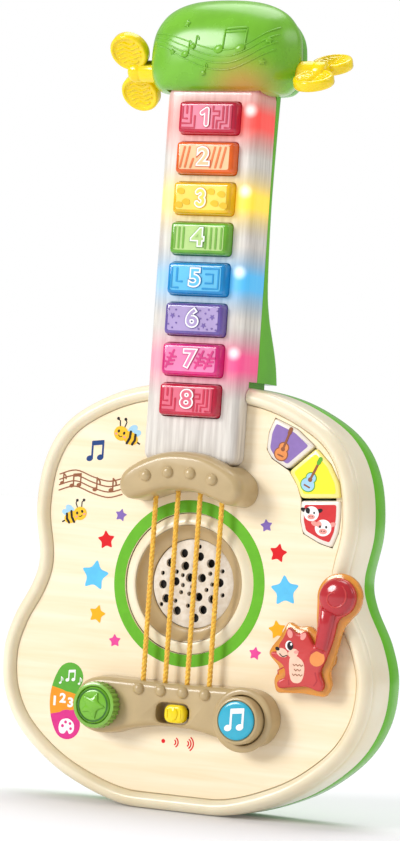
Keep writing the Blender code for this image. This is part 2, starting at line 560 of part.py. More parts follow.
# ---------------------------------------------------------------- electronics and batteries
def make_power():
    box("main_board", (-60, BOARD_Y, 30), (60, BOARD_Y + BOARD_THICK, 92), "board")
    tray = box("battery_tray", (-BAY_HALF[0] - 1.5, BAY_FLOOR - 1.5, BAY_Z - BAY_HALF[1] - 1.5),
               (BAY_HALF[0] + 1.5, BAY_REAR, BAY_Z + BAY_HALF[1] + 1.5), "lime")
    boss = disc("tray_boss", 3.8, (0, BAY_REAR, DOOR_SCREW_Z), 12, steps=16)
    tab = box("tray_tab", (-6, BAY_REAR - 2, BAY_Z + BAY_HALF[1]), (6, BAY_REAR, DOOR_SCREW_Z + 4.5))
    join(tray, tab, boss)
    cut(tray, box("bay", (-BAY_HALF[0], BAY_FLOOR, BAY_Z - BAY_HALF[1]),
                  (BAY_HALF[0], BACK, BAY_Z + BAY_HALF[1])),
        disc("boss_hole", 1.7, (0, BACK - 1, DOOR_SCREW_Z), 12, steps=12))
    for k in range(3):
        height = BAY_Z + BATTERY_PITCH * (k - 1)
        half = BATTERY_LENGTH / 2
        nub = 1.0
        turned(f"battery_{k + 1}", [(0, half), (2.7, half), (2.7, half - nub), (BATTERY_RADIUS, half - nub),
                                    (BATTERY_RADIUS, -half), (0, -half)],
               (0, BAY_FLOOR + BATTERY_RADIUS + GAP, height), "battery", 16,
               'RIGHT' if k % 2 == 0 else 'LEFT')
    for name, side in (("battery_contact_left", -1), ("battery_contact_right", 1)):
        outer = side * (BAY_HALF[0] - GAP)
        inner = side * (BAY_HALF[0] - 1.0)
        strip = box(name, (min(outer, inner), BAY_FLOOR + 1, BAY_Z - 21), (max(outer, inner), BAY_REAR - 2, BAY_Z + 21),
                    "steel")
        for k in range(3):
            height = BAY_Z + BATTERY_PITCH * (k - 1)
            join(strip, turned(f"{name}_coil_{k}", [(0, 5), (1.8, 5), (3.4, -0.3), (0, -0.3)],
                               (inner, BAY_FLOOR + BATTERY_RADIUS + GAP, height), None, 12,
                               'LEFT' if side > 0 else 'RIGHT'))
    door = box("battery_door", (-BAY_HALF[0] + 0.9, BACK - 2.3, BAY_Z - BAY_HALF[1] + 0.4),
               (BAY_HALF[0] - 0.9, BACK, BAY_Z + BAY_HALF[1] - 0.4), "lime")
    join(door, box("door_tab", (-6.6, BACK - 2.3, BAY_Z + BAY_HALF[1] - 3), (6.6, BACK, DOOR_SCREW_Z + 5.6)))
    cut(door, turned("door_counterbore", [(0, 5), (1.7, 5), (1.7, 1.5), (3.4, 1.5), (3.4, -1), (0, -1)],
                     (0, BACK, DOOR_SCREW_Z), steps=16, facing='FRONT'))
    turned("battery_door_screw", [(0, 0), (3.0, 0), (3.0, -1.0), (1.35, -1.0), (1.35, -9), (0, -9)],
           (0, BACK - 0.3, DOOR_SCREW_Z), "steel", 10, 'BACK')


clear_scene()
parts = collection("toy_electric_guitar")
tools = collection("cutters")
guitar = bpy.data.objects.new("guitar_frame", None)
guitar.location = (0, FACE_SHIFT * MM, 0)
parts.objects.link(guitar)
make_casing()
make_sound_hole()
make_neck()
make_neck_shell()
make_head()
make_nut()
make_bridge()
make_strings()
make_controls()
make_power()
bpy.context.view_layer.update()
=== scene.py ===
"""Looks of the toy electric guitar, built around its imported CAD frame.

Lengths are millimetres beside the centre line (x), behind the face of the body (y, front negative)
and above the foot (z), unless a name says otherwise.  at() turns them into the frame's metres.
"""
import math

import bmesh
import bpy
from mathutils import Matrix, Vector
from mathutils.bvhtree import BVHTree


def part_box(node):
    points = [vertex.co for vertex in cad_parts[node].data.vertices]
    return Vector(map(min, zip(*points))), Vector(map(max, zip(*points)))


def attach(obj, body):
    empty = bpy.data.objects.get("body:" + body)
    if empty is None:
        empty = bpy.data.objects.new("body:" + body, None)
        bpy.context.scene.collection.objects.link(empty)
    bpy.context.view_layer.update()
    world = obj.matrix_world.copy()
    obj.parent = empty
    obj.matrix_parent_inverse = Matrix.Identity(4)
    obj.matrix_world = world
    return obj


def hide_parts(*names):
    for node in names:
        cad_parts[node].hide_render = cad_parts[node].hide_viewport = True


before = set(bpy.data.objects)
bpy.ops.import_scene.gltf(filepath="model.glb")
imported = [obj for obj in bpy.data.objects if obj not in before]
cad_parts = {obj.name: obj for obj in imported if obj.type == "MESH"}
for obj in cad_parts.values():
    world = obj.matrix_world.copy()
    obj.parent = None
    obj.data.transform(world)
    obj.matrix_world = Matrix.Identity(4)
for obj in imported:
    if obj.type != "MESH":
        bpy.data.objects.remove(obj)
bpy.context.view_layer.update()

MM = 0.001
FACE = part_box("face_panel")[0].y
scene = bpy.context.scene


def at(x, y, z):
    return Vector((x * MM, FACE + y * MM, z * MM))


# ---------------------------------------------------------------- outlines
def between(a, b, c, d, t):
    """The Catmull-Rom value at t on the way from b to c, for numbers and for vectors."""
    return 0.5 * (2 * b + (c - a) * t + (2 * a - 5 * b + 4 * c - d) * t * t + (3 * b - a - 3 * c + d) * t ** 3)


def smooth_line(points, steps, first, last):
    """Points along a smooth curve; first and last are the neighbours that set the end slopes."""
    chain = [Vector(p) for p in [first, *points, last]]
    fours = zip(chain, chain[1:], chain[2:], chain[3:])
    return [between(*four, k / steps) for four in fours for k in range(steps)] + [chain[-2]]


def smooth_rows(rows, steps):
    """Rows of numbers made denser along a smooth curve."""
    chain = [rows[0], *rows, rows[-1]]
    fours = zip(chain, chain[1:], chain[2:], chain[3:])
    return [[between(*values, k / steps) for values in zip(*four)] for four in fours for k in range(steps)] + [rows[-1]]


def open_line(points, steps):
    return smooth_line(points, steps, points[0], points[-1])


def closed_line(points, steps):
    return smooth_line([*points, points[0]], steps, points[-1], points[1])[:-1]


def both_sides(half):
    """A right half from foot to top, completed by its mirror image."""
    return half + [Vector((-p.x, p.y)) for p in reversed(half) if p.x > 1e-6]


def mirrored(half, steps):
    return both_sides(smooth_line(half, steps, (-half[1][0], half[1][1]), (-half[-2][0], half[-2][1])))


def rounded(points, radius, steps=4):
    """The outline with its corners rounded off."""
    points = [Vector(p) for p in points]
    made = []
    for a, b, c in zip(points[-1:] + points[:-1], points, points[1:] + points[:1]):
        one = b + (a - b).normalized() * min(radius, (a - b).length * 0.45)
        two = b + (c - b).normalized() * min(radius, (c - b).length * 0.45)
        for k in range(steps + 1):
            t = k / steps
            made.append((1 - t) ** 2 * one + 2 * t * (1 - t) * b + t * t * two)
    return made


def rectangle(x, z, half_x, half_z, radius=0.0, steps=5):
    corners = [(x + half_x, z - half_z), (x + half_x, z + half_z), (x - half_x, z + half_z),
               (x - half_x, z - half_z)]
    return rounded(corners, radius, steps) if radius else [Vector(p) for p in corners]


def ellipse(x, z, a, b=None, turn=0.0, count=28):
    b = a if b is None else b
    spin = Matrix.Rotation(math.radians(turn), 2)
    return [Vector((x, z)) + spin @ Vector((a * math.cos(2 * math.pi * k / count),
                                            b * math.sin(2 * math.pi * k / count))) for k in range(count)]


def star(x, z, radius, turn=0.0, depth=0.52):
    tips = []
    for k in range(10):
        reach = radius if k % 2 == 0 else radius * depth
        angle = math.radians(90 + turn + 36 * k)
        tips.append((x + reach * math.cos(angle), z + reach * math.sin(angle)))
    return rounded(tips, radius * 0.2)


def arc(x, z, radius, start, end, count=12):
    turns = [math.radians(start + (end - start) * k / count) for k in range(count + 1)]
    return [Vector((x + radius * math.cos(a), z + radius * math.sin(a))) for a in turns]


def band(x, z, inner, outer, start, end, count):
    return arc(x, z, outer, start, end, count) + arc(x, z, inner, end, start, count)


def stroke(points, width):
    """Outline of a line drawn with a round pen."""
    points = [Vector(p) for p in points]
    sides = []
    for k in range(len(points)):
        along = (points[min(k + 1, len(points) - 1)] - points[max(k - 1, 0)]).normalized()
        sides.append(Vector((-along.y, along.x)) * width / 2)

    def cap(tip, side):
        return [tip + Matrix.Rotation(-math.pi * k / 5, 2) @ side for k in range(1, 5)]

    there = [p + s for p, s in zip(points, sides)]
    back = [p - s for p, s in zip(points, sides)][::-1]
    return there + cap(points[-1], sides[-1]) + back + cap(points[0], -sides[0])


def inset(outline, distance):
    """Each corner moves inwards so that every side moves by the distance."""
    area = sum(a.x * b.y - b.x * a.y for a, b in zip(outline, outline[1:] + outline[:1]))
    turn = 1 if area > 0 else -1
    moved = []
    for before, here, after in zip(outline[-1:] + outline[:-1], outline, outline[1:] + outline[:1]):
        side_a, side_b = (here - before).normalized(), (after - here).normalized()
        normal_a = Vector((-side_a.y, side_a.x)) * turn
        normal_b = Vector((-side_b.y, side_b.x)) * turn
        middle = (normal_a + normal_b).normalized()
        moved.append(here + middle * distance / max(middle.dot(normal_a), 0.35))
    return moved


# ---------------------------------------------------------------- materials
BLACK, PURE_WHITE = (0, 0, 0, 1), (1, 1, 1, 1)


def rgb(red, green, blue):
    """Display colour, 0 to 255, as linear light."""
    made = []
    for value in (red, green, blue):
        value /= 255
        made.append(value / 12.92 if value <= 0.04045 else ((value + 0.055) / 1.055) ** 2.4)
    return (*made, 1.0)


def mix(colour, other, share):
    return tuple(a + (b - a) * share for a, b in zip(colour, other))


def darker(colour, share):
    return mix(colour, BLACK, share)


def plug(socket, value):
    """An input gets a link, if the value is another node's output, or else a constant."""
    if isinstance(value, bpy.types.NodeSocket):
        socket.id_data.links.new(value, socket)
    else:
        socket.default_value = value


def node(tree, kind, *ports, **values):
    """A shader node: values are its settings or named inputs (_ for a space), ports its inputs in order."""
    made = tree.nodes.new("ShaderNode" + kind)
    for name, value in values.items():
        socket = name.replace("_", " ")
        if socket in made.inputs:
            plug(made.inputs[socket], value)
        else:
            setattr(made, name, value)
    for socket, value in zip(made.inputs, ports):
        plug(socket, value)
    return made


def surface(name, colour, other, roughness=0.3, grain=90, stretch=(1, 1, 1), bump=0.05, fine=2600,
            distortion=0.0, **fixed):
    """A moulded, printed or metal surface: two close colours by noise, a fine bump, a varied gloss."""
    made = bpy.data.materials.new(name)
    made.use_nodes = True
    made.diffuse_color = colour
    tree = made.node_tree
    place = node(tree, "TexCoord").outputs["Object"]
    place = node(tree, "Mapping", Vector=place, Scale=stretch).outputs["Vector"]
    broad = node(tree, "TexNoise", Vector=place, Scale=grain, Detail=5.0, Roughness=0.55,
                 Distortion=distortion).outputs["Fac"]
    small = node(tree, "TexNoise", Vector=place, Scale=fine, Detail=2.0).outputs["Fac"]
    ramp = node(tree, "ValToRGB", Fac=broad)
    for stop, position, tone in zip(ramp.color_ramp.elements, (0.36, 0.64), (other, colour)):
        stop.position, stop.color = position, tone
    dull = node(tree, "MapRange", Value=broad, To_Min=roughness - 0.04, To_Max=roughness + 0.04)
    relief = node(tree, "Bump", Height=small, Strength=bump, Distance=0.0003)
    varied = {"Base_Color": ramp.outputs["Color"], "Roughness": dull.outputs["Result"],
              "Normal": relief.outputs["Normal"]}
    for socket, value in {**varied, **fixed}.items():
        plug(tree.nodes["Principled BSDF"].inputs[socket.replace("_", " ")], value)
    return made


def gloss(name, colour, share=0.12, roughness=0.22, **fixed):
    """Shiny moulded plastic."""
    return surface(name, colour, darker(colour, share), roughness, 60, bump=0.02,
                   Coat_Weight=0.35, Coat_Roughness=0.08, **fixed)


def ink(name, colour, share=0.08):
    """Printing on the moulded face."""
    return surface(name, colour, darker(colour, share), 0.38, 240, bump=0.03, fine=4200,
                   Specular_IOR_Level=0.22)


CREAM, BIRCH, TAN = rgb(242, 231, 202), rgb(251, 236, 206), rgb(192, 167, 120)
LEAF, LIME, WHITE = rgb(118, 188, 42), rgb(100, 186, 26), rgb(250, 250, 248)
KEY_COLOURS = [rgb(204, 22, 62), rgb(240, 104, 24), rgb(250, 196, 10), rgb(108, 178, 46), rgb(10, 146, 216),
               rgb(112, 90, 170), rgb(226, 36, 128), rgb(204, 22, 62)]
KEY_INLAYS = [rgb(238, 134, 158), rgb(254, 204, 152), rgb(253, 228, 96), rgb(188, 222, 136),
              rgb(98, 198, 240), rgb(182, 162, 212), rgb(243, 136, 186), rgb(234, 110, 134)]
KEY_SLOTS = ["key_red", "key_orange", "key_yellow", "key_green", "key_blue", "key_purple", "key_pink", "key_red"]
m_cream = surface("cream_moulding", CREAM, mix(CREAM, rgb(222, 200, 152), 0.35), 0.3, 26, bump=0.04,
                  Coat_Weight=0.3, Coat_Roughness=0.12, Subsurface_Weight=0.05, Subsurface_Scale=0.01)
m_tan = gloss("tan_moulding", TAN, 0.1, 0.34)
m_leaf = gloss("leaf_green", LEAF, 0.14, 0.18)
m_lime = surface("lime_green", LIME, darker(LIME, 0.1), 0.24, 60, bump=0.02, Coat_Weight=0.12,
                 Coat_Roughness=0.1, Specular_IOR_Level=0.22)
m_dark = gloss("dark_green", rgb(58, 120, 30), 0.2, 0.3)
m_yellow = gloss("glossy_yellow", rgb(255, 222, 10), 0.12, 0.16, Subsurface_Weight=0.1, Subsurface_Scale=0.004,
                 Specular_IOR_Level=0.35)
m_speckle = surface("speckled_grille", rgb(236, 228, 214), rgb(220, 208, 188), 0.5, 300, bump=0.15)
m_white = ink("white_ink", WHITE, 0.03)
m_black = ink("black_ink", rgb(34, 28, 30))
m_brown = ink("brown_ink", rgb(150, 92, 60))
m_navy = ink("navy_ink", rgb(28, 66, 128))
m_ring = ink("ring_ink", rgb(104, 184, 36))
m_steel = surface("plated_steel", rgb(176, 178, 182), rgb(150, 152, 156), 0.28, 300, (1, 8, 1), Metallic=1.0)
m_board = surface("solder_mask", rgb(26, 96, 52), rgb(18, 72, 40), 0.45, 500)
m_rubber = surface("grey_rubber", rgb(140, 144, 150), rgb(120, 124, 130), 0.8, 400, bump=0.2)
m_coal = surface("black_plastic", rgb(32, 30, 30), rgb(20, 19, 19), 0.5, 300, bump=0.15)
m_wrap = surface("battery_sleeve", rgb(46, 46, 52), rgb(34, 34, 40), 0.25, 200, Coat_Weight=0.4)
m_lens = gloss("clear_lens", rgb(240, 242, 248), 0.05, 0.1)
m_melody = gloss("melody_blue", rgb(40, 174, 204), 0.1, 0.2)
m_red = gloss("squirrel_red", rgb(206, 58, 56), 0.14, 0.2)
m_deep_red = gloss("tail_red", rgb(186, 34, 44), 0.16, 0.14)
m_amber = gloss("clear_amber", rgb(252, 172, 66), 0.1, 0.14, Transmission_Weight=0.35, IOR=1.45)
m_belly = ink("belly_cream", rgb(248, 206, 180))
m_acorn = ink("acorn_orange", rgb(238, 150, 84))
m_wing = ink("wing_ink", rgb(168, 214, 240))
m_bee = ink("bee_ink", rgb(250, 198, 40))
m_blush = ink("blush_ink", rgb(240, 160, 150))
m_star_purple, m_star_red = ink("star_purple", rgb(134, 106, 184)), ink("star_red", rgb(224, 16, 26))
m_star_blue, m_star_yellow = ink("star_blue", rgb(96, 198, 244)), ink("star_yellow", rgb(252, 182, 18))
m_star_pink = ink("star_pink", rgb(236, 74, 156))
m_label_green, m_label_orange = ink("label_green", rgb(96, 176, 56)), ink("label_orange", rgb(246, 156, 34))
m_label_pink = ink("label_pink", rgb(224, 52, 140))
m_tone_purple, m_tone_red = ink("tone_purple", rgb(146, 118, 184)), ink("tone_red", rgb(214, 52, 56))
# The middle tone key is no lamp: its glow is painted, as emission on its yellow print and as a pale yellow border
# colour.
m_tone_yellow_painted_glow = gloss("tone_yellow", rgb(254, 220, 20), 0.06, 0.3, Emission_Color=rgb(255, 214, 30),
                      Emission_Strength=0.25)
m_milk = gloss("tone_border", rgb(240, 232, 220), 0.08, 0.2)
m_milk_painted_glow = gloss("tone_border_lit", rgb(254, 240, 140), 0.08, 0.2)
m_knob = gloss("knob_green", rgb(128, 186, 62), 0.16, 0.22)
# Pale printed wood: long grain along x with slow waves and fine fibres.
m_birch = surface("birch_print", BIRCH, mix(BIRCH, rgb(238, 212, 160), 0.5), 0.36, 60, (0.16, 1, 2.2),
                  bump=0.02, fine=900, distortion=0.6, Coat_Weight=0.15, Coat_Roughness=0.2)
m_cord = surface("braided_cord", rgb(255, 212, 80), rgb(226, 160, 40), 0.8, 1400, (1, 1, 0.35), bump=0.5,
                 fine=3200, Sheen_Weight=0.4)


def blend_in(tree, share, colour, other):
    """A colour that turns into another by a share."""
    return node(tree, "Mix", data_type='RGBA', Factor=share, A=colour, B=other).outputs["Result"]


def glow_round(tree, centre, reach, strength):
    """A share that falls from its strength at a point to nothing at its reach, in metres."""
    place = node(tree, "TexCoord").outputs["Object"]
    away = node(tree, "VectorMath", place, centre, operation='DISTANCE')
    return node(tree, "MapRange", interpolation_type='SMOOTHSTEP', Value=away.outputs["Value"], From_Min=0.0,
                From_Max=reach, To_Min=strength, To_Max=0.0).outputs["Result"]


# Reach and strength of the lamps' painted glow, and the near-white painted sparkles over the lamps.
GLOW_REACH, GLOW_STRENGTH, SPARK_REACH = 0.021, 0.4, 0.005
LAMP_X, LAMP_RISE, SPARK_COLOUR = 23.4, 4.5, (2.4, 2.3, 2.2, 1)


def lamp_ramp(tree, source, lamps, low, high, tinted):
    """Painted glow colour along the neck: each lamp's glow fades up and down; the untinted ramp is its share."""
    ramp = node(tree, "ValToRGB", Fac=source)
    stops = ramp.color_ramp.elements
    stops[0].position, stops[0].color, stops[1].position = 0.0, BLACK, 1.0
    reach = GLOW_REACH / (high - low)
    for number, (z, colour) in enumerate(lamps):
        share = (z * MM - low) / (high - low)
        painted_glow = colour if tinted else PURE_WHITE
        for offset, strength in ((-reach, 0.0), (-reach * 0.55, 0.55), (-reach * 0.2, 1.0), (reach * 0.15, 1.0),
                                 (reach * 0.5, 0.5)):
            stops.new(share + offset).color = mix(BLACK, painted_glow, strength)
        if number:
            stops.new(share + reach * 0.9).color = BLACK
        else:
            stops[-1].color = mix(BLACK, mix(painted_glow, PURE_WHITE, 0.2), 0.6)
    return ramp.outputs["Color"]


def fretboard_material(lamps):
    """Milky plastic with brushed streaks; the coloured lamps' glow from its right edge is painted into its colour and
    emission.
    """
    low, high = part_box("fretboard")
    made = surface("lit_fretboard", rgb(234, 229, 220), rgb(204, 197, 188), 0.3, 420, (1, 1, 0.06), bump=0.12,
                   fine=1500, Coat_Weight=0.3, Coat_Roughness=0.1)
    tree = made.node_tree
    shader = tree.nodes["Principled BSDF"].inputs
    split = node(tree, "SeparateXYZ", node(tree, "TexCoord").outputs["Object"]).outputs
    height = node(tree, "MapRange", Value=split["Z"], From_Min=low.z, From_Max=high.z).outputs["Result"]
    side = node(tree, "MapRange", Value=split["X"], From_Min=low.x, From_Max=high.x, To_Min=0.4, To_Max=0.88)
    painted_glow, cover = [lamp_ramp(tree, height, lamps, low.z, high.z, tinted) for tinted in (True, False)]
    share = node(tree, "Math", cover, side.outputs["Result"], operation='MULTIPLY').outputs["Value"]
    streaks = shader["Base Color"].links[0].from_socket
    # Painted sparkles: near-white emission spots where the lamps sit.
    painted_sparkle = 0.0
    for z, _ in lamps:
        spot = glow_round(tree, at(LAMP_X, NECK_FRONT, z + LAMP_RISE), SPARK_REACH, 1.0)
        painted_sparkle = node(tree, "Math", painted_sparkle, spot, operation='MAXIMUM').outputs["Value"]
    # Painted glow: the streaked base colour turns to the lamps' colours near each lamp, more towards the right edge.
    plug(shader["Base Color"], blend_in(tree, share, streaks, painted_glow))
    plug(shader["Emission Color"], blend_in(tree, painted_sparkle, painted_glow, SPARK_COLOUR))
    plug(shader["Emission Strength"], GLOW_STRENGTH)
    return made


def head_material():
    """Leaf green with the red lamp's warm glow painted into its colour above the neck."""
    made = surface("head_green", LEAF, darker(LEAF, 0.14), 0.27, 60, bump=0.02, Coat_Weight=0.15,
                   Coat_Roughness=0.16)
    tree = made.node_tree
    base = tree.nodes["Principled BSDF"].inputs["Base Color"]
    painted_lamp_glow = glow_round(tree, at(20, -20, 388), 0.032, 0.75)
    plug(base, blend_in(tree, painted_lamp_glow, base.links[0].from_socket, rgb(214, 92, 56)))
    return made


# ---------------------------------------------------------------- mesh building
class Shape:
    """One piece's mesh, gathered from rings and outlines; every part of it has its own material."""

    def __init__(self):
        self.bm = bmesh.new()
        self.materials = []

    def faces(self, made, material):
        if material not in self.materials:
            self.materials.append(material)
        for face in made:
            face.material_index = self.materials.index(material)

    def loft(self, rings, material, closed=False):
        """Surface through rings of equal counts: capped at both ends, or closed round on itself."""
        verts = [[self.bm.verts.new(point) for point in ring] for ring in rings]
        made = []
        pairs = list(zip(verts, verts[1:])) + ([(verts[-1], verts[0])] if closed else [])
        for one, two in pairs:
            for k in range(len(one)):
                made.append(self.bm.faces.new((one[k - 1], one[k], two[k], two[k - 1])))
        if not closed:
            made += [self.bm.faces.new(verts[0]), self.bm.faces.new(verts[-1])]
        self.faces(made, material)
        return self

    def slab(self, outline, levels, material, closed=False):
        """An outline in the face plane taken through (depth, inset) levels."""
        outline = [Vector(p) for p in outline]
        return self.loft([[at(p.x, depth, p.y) for p in inset(outline, amount)] for depth, amount in levels],
                         material, closed)

    def stack(self, levels, outline_at, material):
        """An outline that is drawn anew at each (depth, amount) level."""
        return self.loft([[at(p.x, depth, p.y) for p in outline_at(amount)] for depth, amount in levels], material)

    def plate(self, outline, back, front, material):
        """A thin flat shape, such as printing."""
        return self.loft([[at(p[0], depth, p[1]) for p in outline] for depth in (back, front)], material)

    def turned(self, profile, centre, material, facing=(0, -1, 0), steps=48, ridges=0, ridge=0.0):
        """A turned form from (radius, height) points; height runs along facing. Ridges knurl its side."""
        axis = Vector(facing)
        across = Vector((0, 0, 1)) if abs(axis.z) < 0.5 else Vector((1, 0, 0))
        side = axis.cross(across).normalized()
        middle = at(*centre)
        rings = []
        for radius, height, *plain in profile:
            ring = []
            for k in range(steps):
                angle = 2 * math.pi * k / steps
                wave = 0 if plain or not ridges else ridge * (0.5 + 0.5 * math.cos(ridges * angle))
                reach = max(radius - wave, 1e-4) * MM
                ring.append(middle + (across * math.cos(angle) + side * math.sin(angle)) * reach
                            + axis * height * MM)
            rings.append(ring)
        return self.loft(rings, material, closed=profile[0][0] > 0.01)

    def tube(self, path, radius, material, sides=8):
        """A round tube through points in metres."""
        rings, normal = [], None
        for k, here in enumerate(path):
            along = (path[min(k + 1, len(path) - 1)] - path[max(k - 1, 0)]).normalized()
            guess = normal or (Vector((0, 1, 0)) if abs(along.y) < 0.8 else Vector((1, 0, 0)))
            normal = (guess - along * guess.dot(along)).normalized()
            other = along.cross(normal)
            thick = radius[k] if isinstance(radius, list) else radius
            rings.append([here + (normal * math.cos(2 * math.pi * n / sides)
                                  + other * math.sin(2 * math.pi * n / sides)) * thick * MM
                          for n in range(sides)])
        return self.loft(rings, material)

    def dome(self, centre, normal, radius, rise, material):
        """A shallow ball segment standing on a surface."""
        across = normal.orthogonal().normalized()
        side = normal.cross(across)
        turns = [2 * math.pi * k / 20 for k in range(20)]
        spokes = [across * math.cos(turn) + side * math.sin(turn) for turn in turns]
        levels = ((1, -0.35), (1, 0), (0.95, 0.32), (0.8, 0.62), (0.55, 0.86), (0.28, 0.97), (0.02, 1))
        return self.loft([[centre + spoke * radius * share * MM + normal * rise * height * MM for spoke in spokes]
                          for share, height in levels], material)

    def finish(self, name="tool", body=None, slot=None, *replaced, smooth=38):
        """The mesh as an object; one with no body is a tool for carve()."""
        bmesh.ops.recalc_face_normals(self.bm, faces=self.bm.faces)
        mesh = bpy.data.meshes.new(name)
        self.bm.to_mesh(mesh)
        self.bm.free()
        mesh.shade_smooth()
        mesh.set_sharp_from_angle(angle=math.radians(smooth))
        for material in self.materials:
            mesh.materials.append(material)
        obj = bpy.data.objects.new(name, mesh)
        scene.collection.objects.link(obj)
        if body:
            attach(obj, body)
            if replaced:
                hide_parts(*replaced)
        return obj

    def stand_for(self, cad_node, slot, body="root", smooth=38):
        """The piece that is seen in place of a CAD node."""
        return self.finish(f"{cad_node}_visual", body, slot, cad_node, smooth=smooth)


def carve(obj, cuts=(), adds=(), smooth=38):
    """Joins, then cuts, are applied to the mesh, and the tools are removed."""
    for kind, others in (('UNION', adds), ('DIFFERENCE', cuts)):
        for other in others:
            step = obj.modifiers.new(kind, 'BOOLEAN')
            step.operation, step.object, step.solver = kind, other, 'EXACT'
    bpy.context.view_layer.update()
    done = bpy.data.meshes.new_from_object(obj.evaluated_get(bpy.context.evaluated_depsgraph_get()))
    old = obj.data
    obj.modifiers.clear()
    obj.data = done
    bpy.data.meshes.remove(old)
    done.shade_smooth()
    done.set_sharp_from_angle(angle=math.radians(smooth))
    for other in (*cuts, *adds):
        bpy.data.objects.remove(other)


def block(low, high, material):
    """A plain box, as a tool for carve()."""
    (x0, y0, z0), (x1, y1, z1) = low, high
    corners = ((x0, z0), (x1, z0), (x1, z1), (x0, z1))
    return Shape().loft([[at(x, y, z) for x, z in corners] for y in (y0, y1)], material).finish()


def rod(radius, centre, length, material, facing=(0, -1, 0), steps=24):
    """A plain bar that starts at its centre and runs along facing, as a tool for carve()."""
    profile = [(0, length), (radius, length), (radius, 0), (0, 0)]
    return Shape().turned(profile, centre, material, facing, steps).finish()


def quarter_round(front, rise, lean, radius, count):
    """Levels of a rounded front edge: the side rises to the front while it turns inwards by the radius."""
    angles = [math.pi / 2 * k / count for k in range(1, count + 1)]
    return [(front + rise * (1 - math.sin(a)), lean + radius * (1 - math.cos(a))) for a in angles]


# ---------------------------------------------------------------- casing
FOOT, BEAD, PARTING, BACK, WALL, GAP = 22.0, 9.0, 24.5, 46.0, 2.6, 0.3
BODY_HALF = [(FOOT, 0), (64, 11.5), (94, 32), (108.5, 54), (112, 78), (107, 98.5), (96.5, 119),
             (93.5, 134), (97.5, 160), (94, 188), (82, 209), (60, 223.5), (34, 232), (0, 235)]
NECK_HALF, NECK_FRONT, NECK_REAR, NECK_SLACK = 28.0, -12.5, 10.0, 0.4
FRET_BOTTOM, FRET_TOP, BODY_TOP = 190.0, 396.0, 236.5
BAY_Z, BAY_X, BAY_RISE, TAB_Z, DOOR_SCREW_Z = 62.0, 31.5, 22.5, 89.5, 90.0
DOOR_LEVELS = [(BACK - 2.3, 0), (BACK - 0.5, 0), (BACK, 0.5)]
WINDOW = [(45, 218), (59, 212.5), (70.5, 203.5), (80, 194.5), (85.5, 185), (87.3, 176), (87.6, 166),
          (87, 158), (83.8, 149.5), (76, 151.5), (66, 156.2), (63.8, 163), (63.4, 174.6), (60.5, 182),
          (55, 189.6), (44.5, 195.5), (41, 200.5), (41.8, 210)]
CASE_SCREWS, SCREW_SINK = [(-72, 42), (72, 42), (-34, 168), (34, 168)], 14.4
SOUND_CENTRE, SOUND_RADIUS = (0, 0, 124.6), 38.8
KNOB, MELODY, LEVER_PIVOT, SLOT_CENTRE, SLOT_HALF = (-43.0, 54.9), (43.0, 54.2), (85.3, 90.8), (1.0, 54.0), (10.2, 5.75)


def body_outline(steps=9):
    rise, neck = BODY_HALF[1], BODY_HALF[-2]
    return both_sides(smooth_line(BODY_HALF, steps, (2 * FOOT - rise[0], rise[1]), (-neck[0], neck[1])))


def make_front(outline):
    """The cream shell with its beaded rim, and the wood-look panel with its openings."""
    bead = open_line([(6.2, 0.0), (4.6, 0.35), (3.5, 0.85), (2.5, 0.55), (1.0, 0.35), (-0.9, 0.85), (-2.6, 2.0),
                      (-3.8, 3.5), (-4.2, 5.0), (-3.8, 6.4), (-2.6, 7.6), (-0.8, 8.5), (1.5, BEAD)], 3)
    levels = [(PARTING, 0), (20, 0), (12, 0)] + [tuple(p) for p in bead] + [
        (1.6, BEAD + 4), (3.4, BEAD + 4), (3.6, WALL + 3), (6, WALL), (PARTING, WALL)]
    front = Shape().slab(outline, levels, m_cream, closed=True).stand_for("front_shell", "cream_shell")
    half = NECK_HALF + NECK_SLACK
    carve(front, [block((-half, -8, 186), (half, 1.5, 240), m_cream),
                  block((-25, 1.5, 222), (25, PARTING + 2, 240), m_cream)])

    panel = Shape().slab(outline, [(1.2, BEAD + 0.12), (0.25, BEAD + 0.12), (0, BEAD + 0.35)], m_birch)
    panel = panel.stand_for("face_panel", "face_print")
    holes = [rod(radius, (x, 8, z), 12, m_birch, steps=steps) for radius, (x, z), steps in (
        (SOUND_RADIUS, SOUND_CENTRE[::2], 96), (3.6, KNOB, 24), (4.6, MELODY, 24), (3.8, LEVER_PIVOT, 24))]
    windows = [Shape().plate(shape, 8, -4, m_birch).finish() for shape in (WINDOW, rectangle(*SLOT_CENTRE, 8.5, 2.8))]
    carve(panel, [holes[0], *windows, *holes[1:], block((-9, -4, 204), (9, 8, 218), m_birch)])


def make_back(outline):
    """The green shell with its screw wells, finger grip and battery opening."""
    inner = [(BACK - WALL, 14), (43, 8), (41.6, 5.2), (38.5, 3.2), (34, WALL), (PARTING + GAP, WALL)]
    outer = [(PARTING + GAP, 0.25), (PARTING + 0.8, 0), (32, 0), (38, 0.1), (40.5, 0.8), (42.6, 2.0), (44.3, 3.9),
             (45.3, 6.2), (45.8, 8.6), (BACK, 12)]
    back = Shape().slab(outline, inner + outer, m_lime).stand_for("back_shell", "green_shell")
    posts = [rod(5.6, (x, BACK - 1, z), BACK - PARTING - 1.5, m_lime) for x, z in CASE_SCREWS]
    well = [(0, 23), (1.9, 23), (1.9, 17), (3.7, 17), (3.7, 0.6), (4.3, 0), (4.3, -1), (0, -1)]
    cuts = [Shape().turned(well, (x, BACK, z), m_lime, steps=32).finish() for x, z in CASE_SCREWS]
    for k in range(2):
        slot_z = BAY_Z - BAY_RISE - 5.5 - 3.2 * k
        cuts.append(block((-9, BACK - 1.1, slot_z), (9, BACK + 2, slot_z + 1.5), m_lime))
    for opening in (rectangle(0, BAY_Z, BAY_X - 0.5, BAY_RISE, 1.5), rectangle(0, TAB_Z, 7, 6.5, 2.5)):
        cuts.append(Shape().plate(opening, BACK - 7, BACK + 3, m_lime).finish())
    carve(back, cuts, posts)


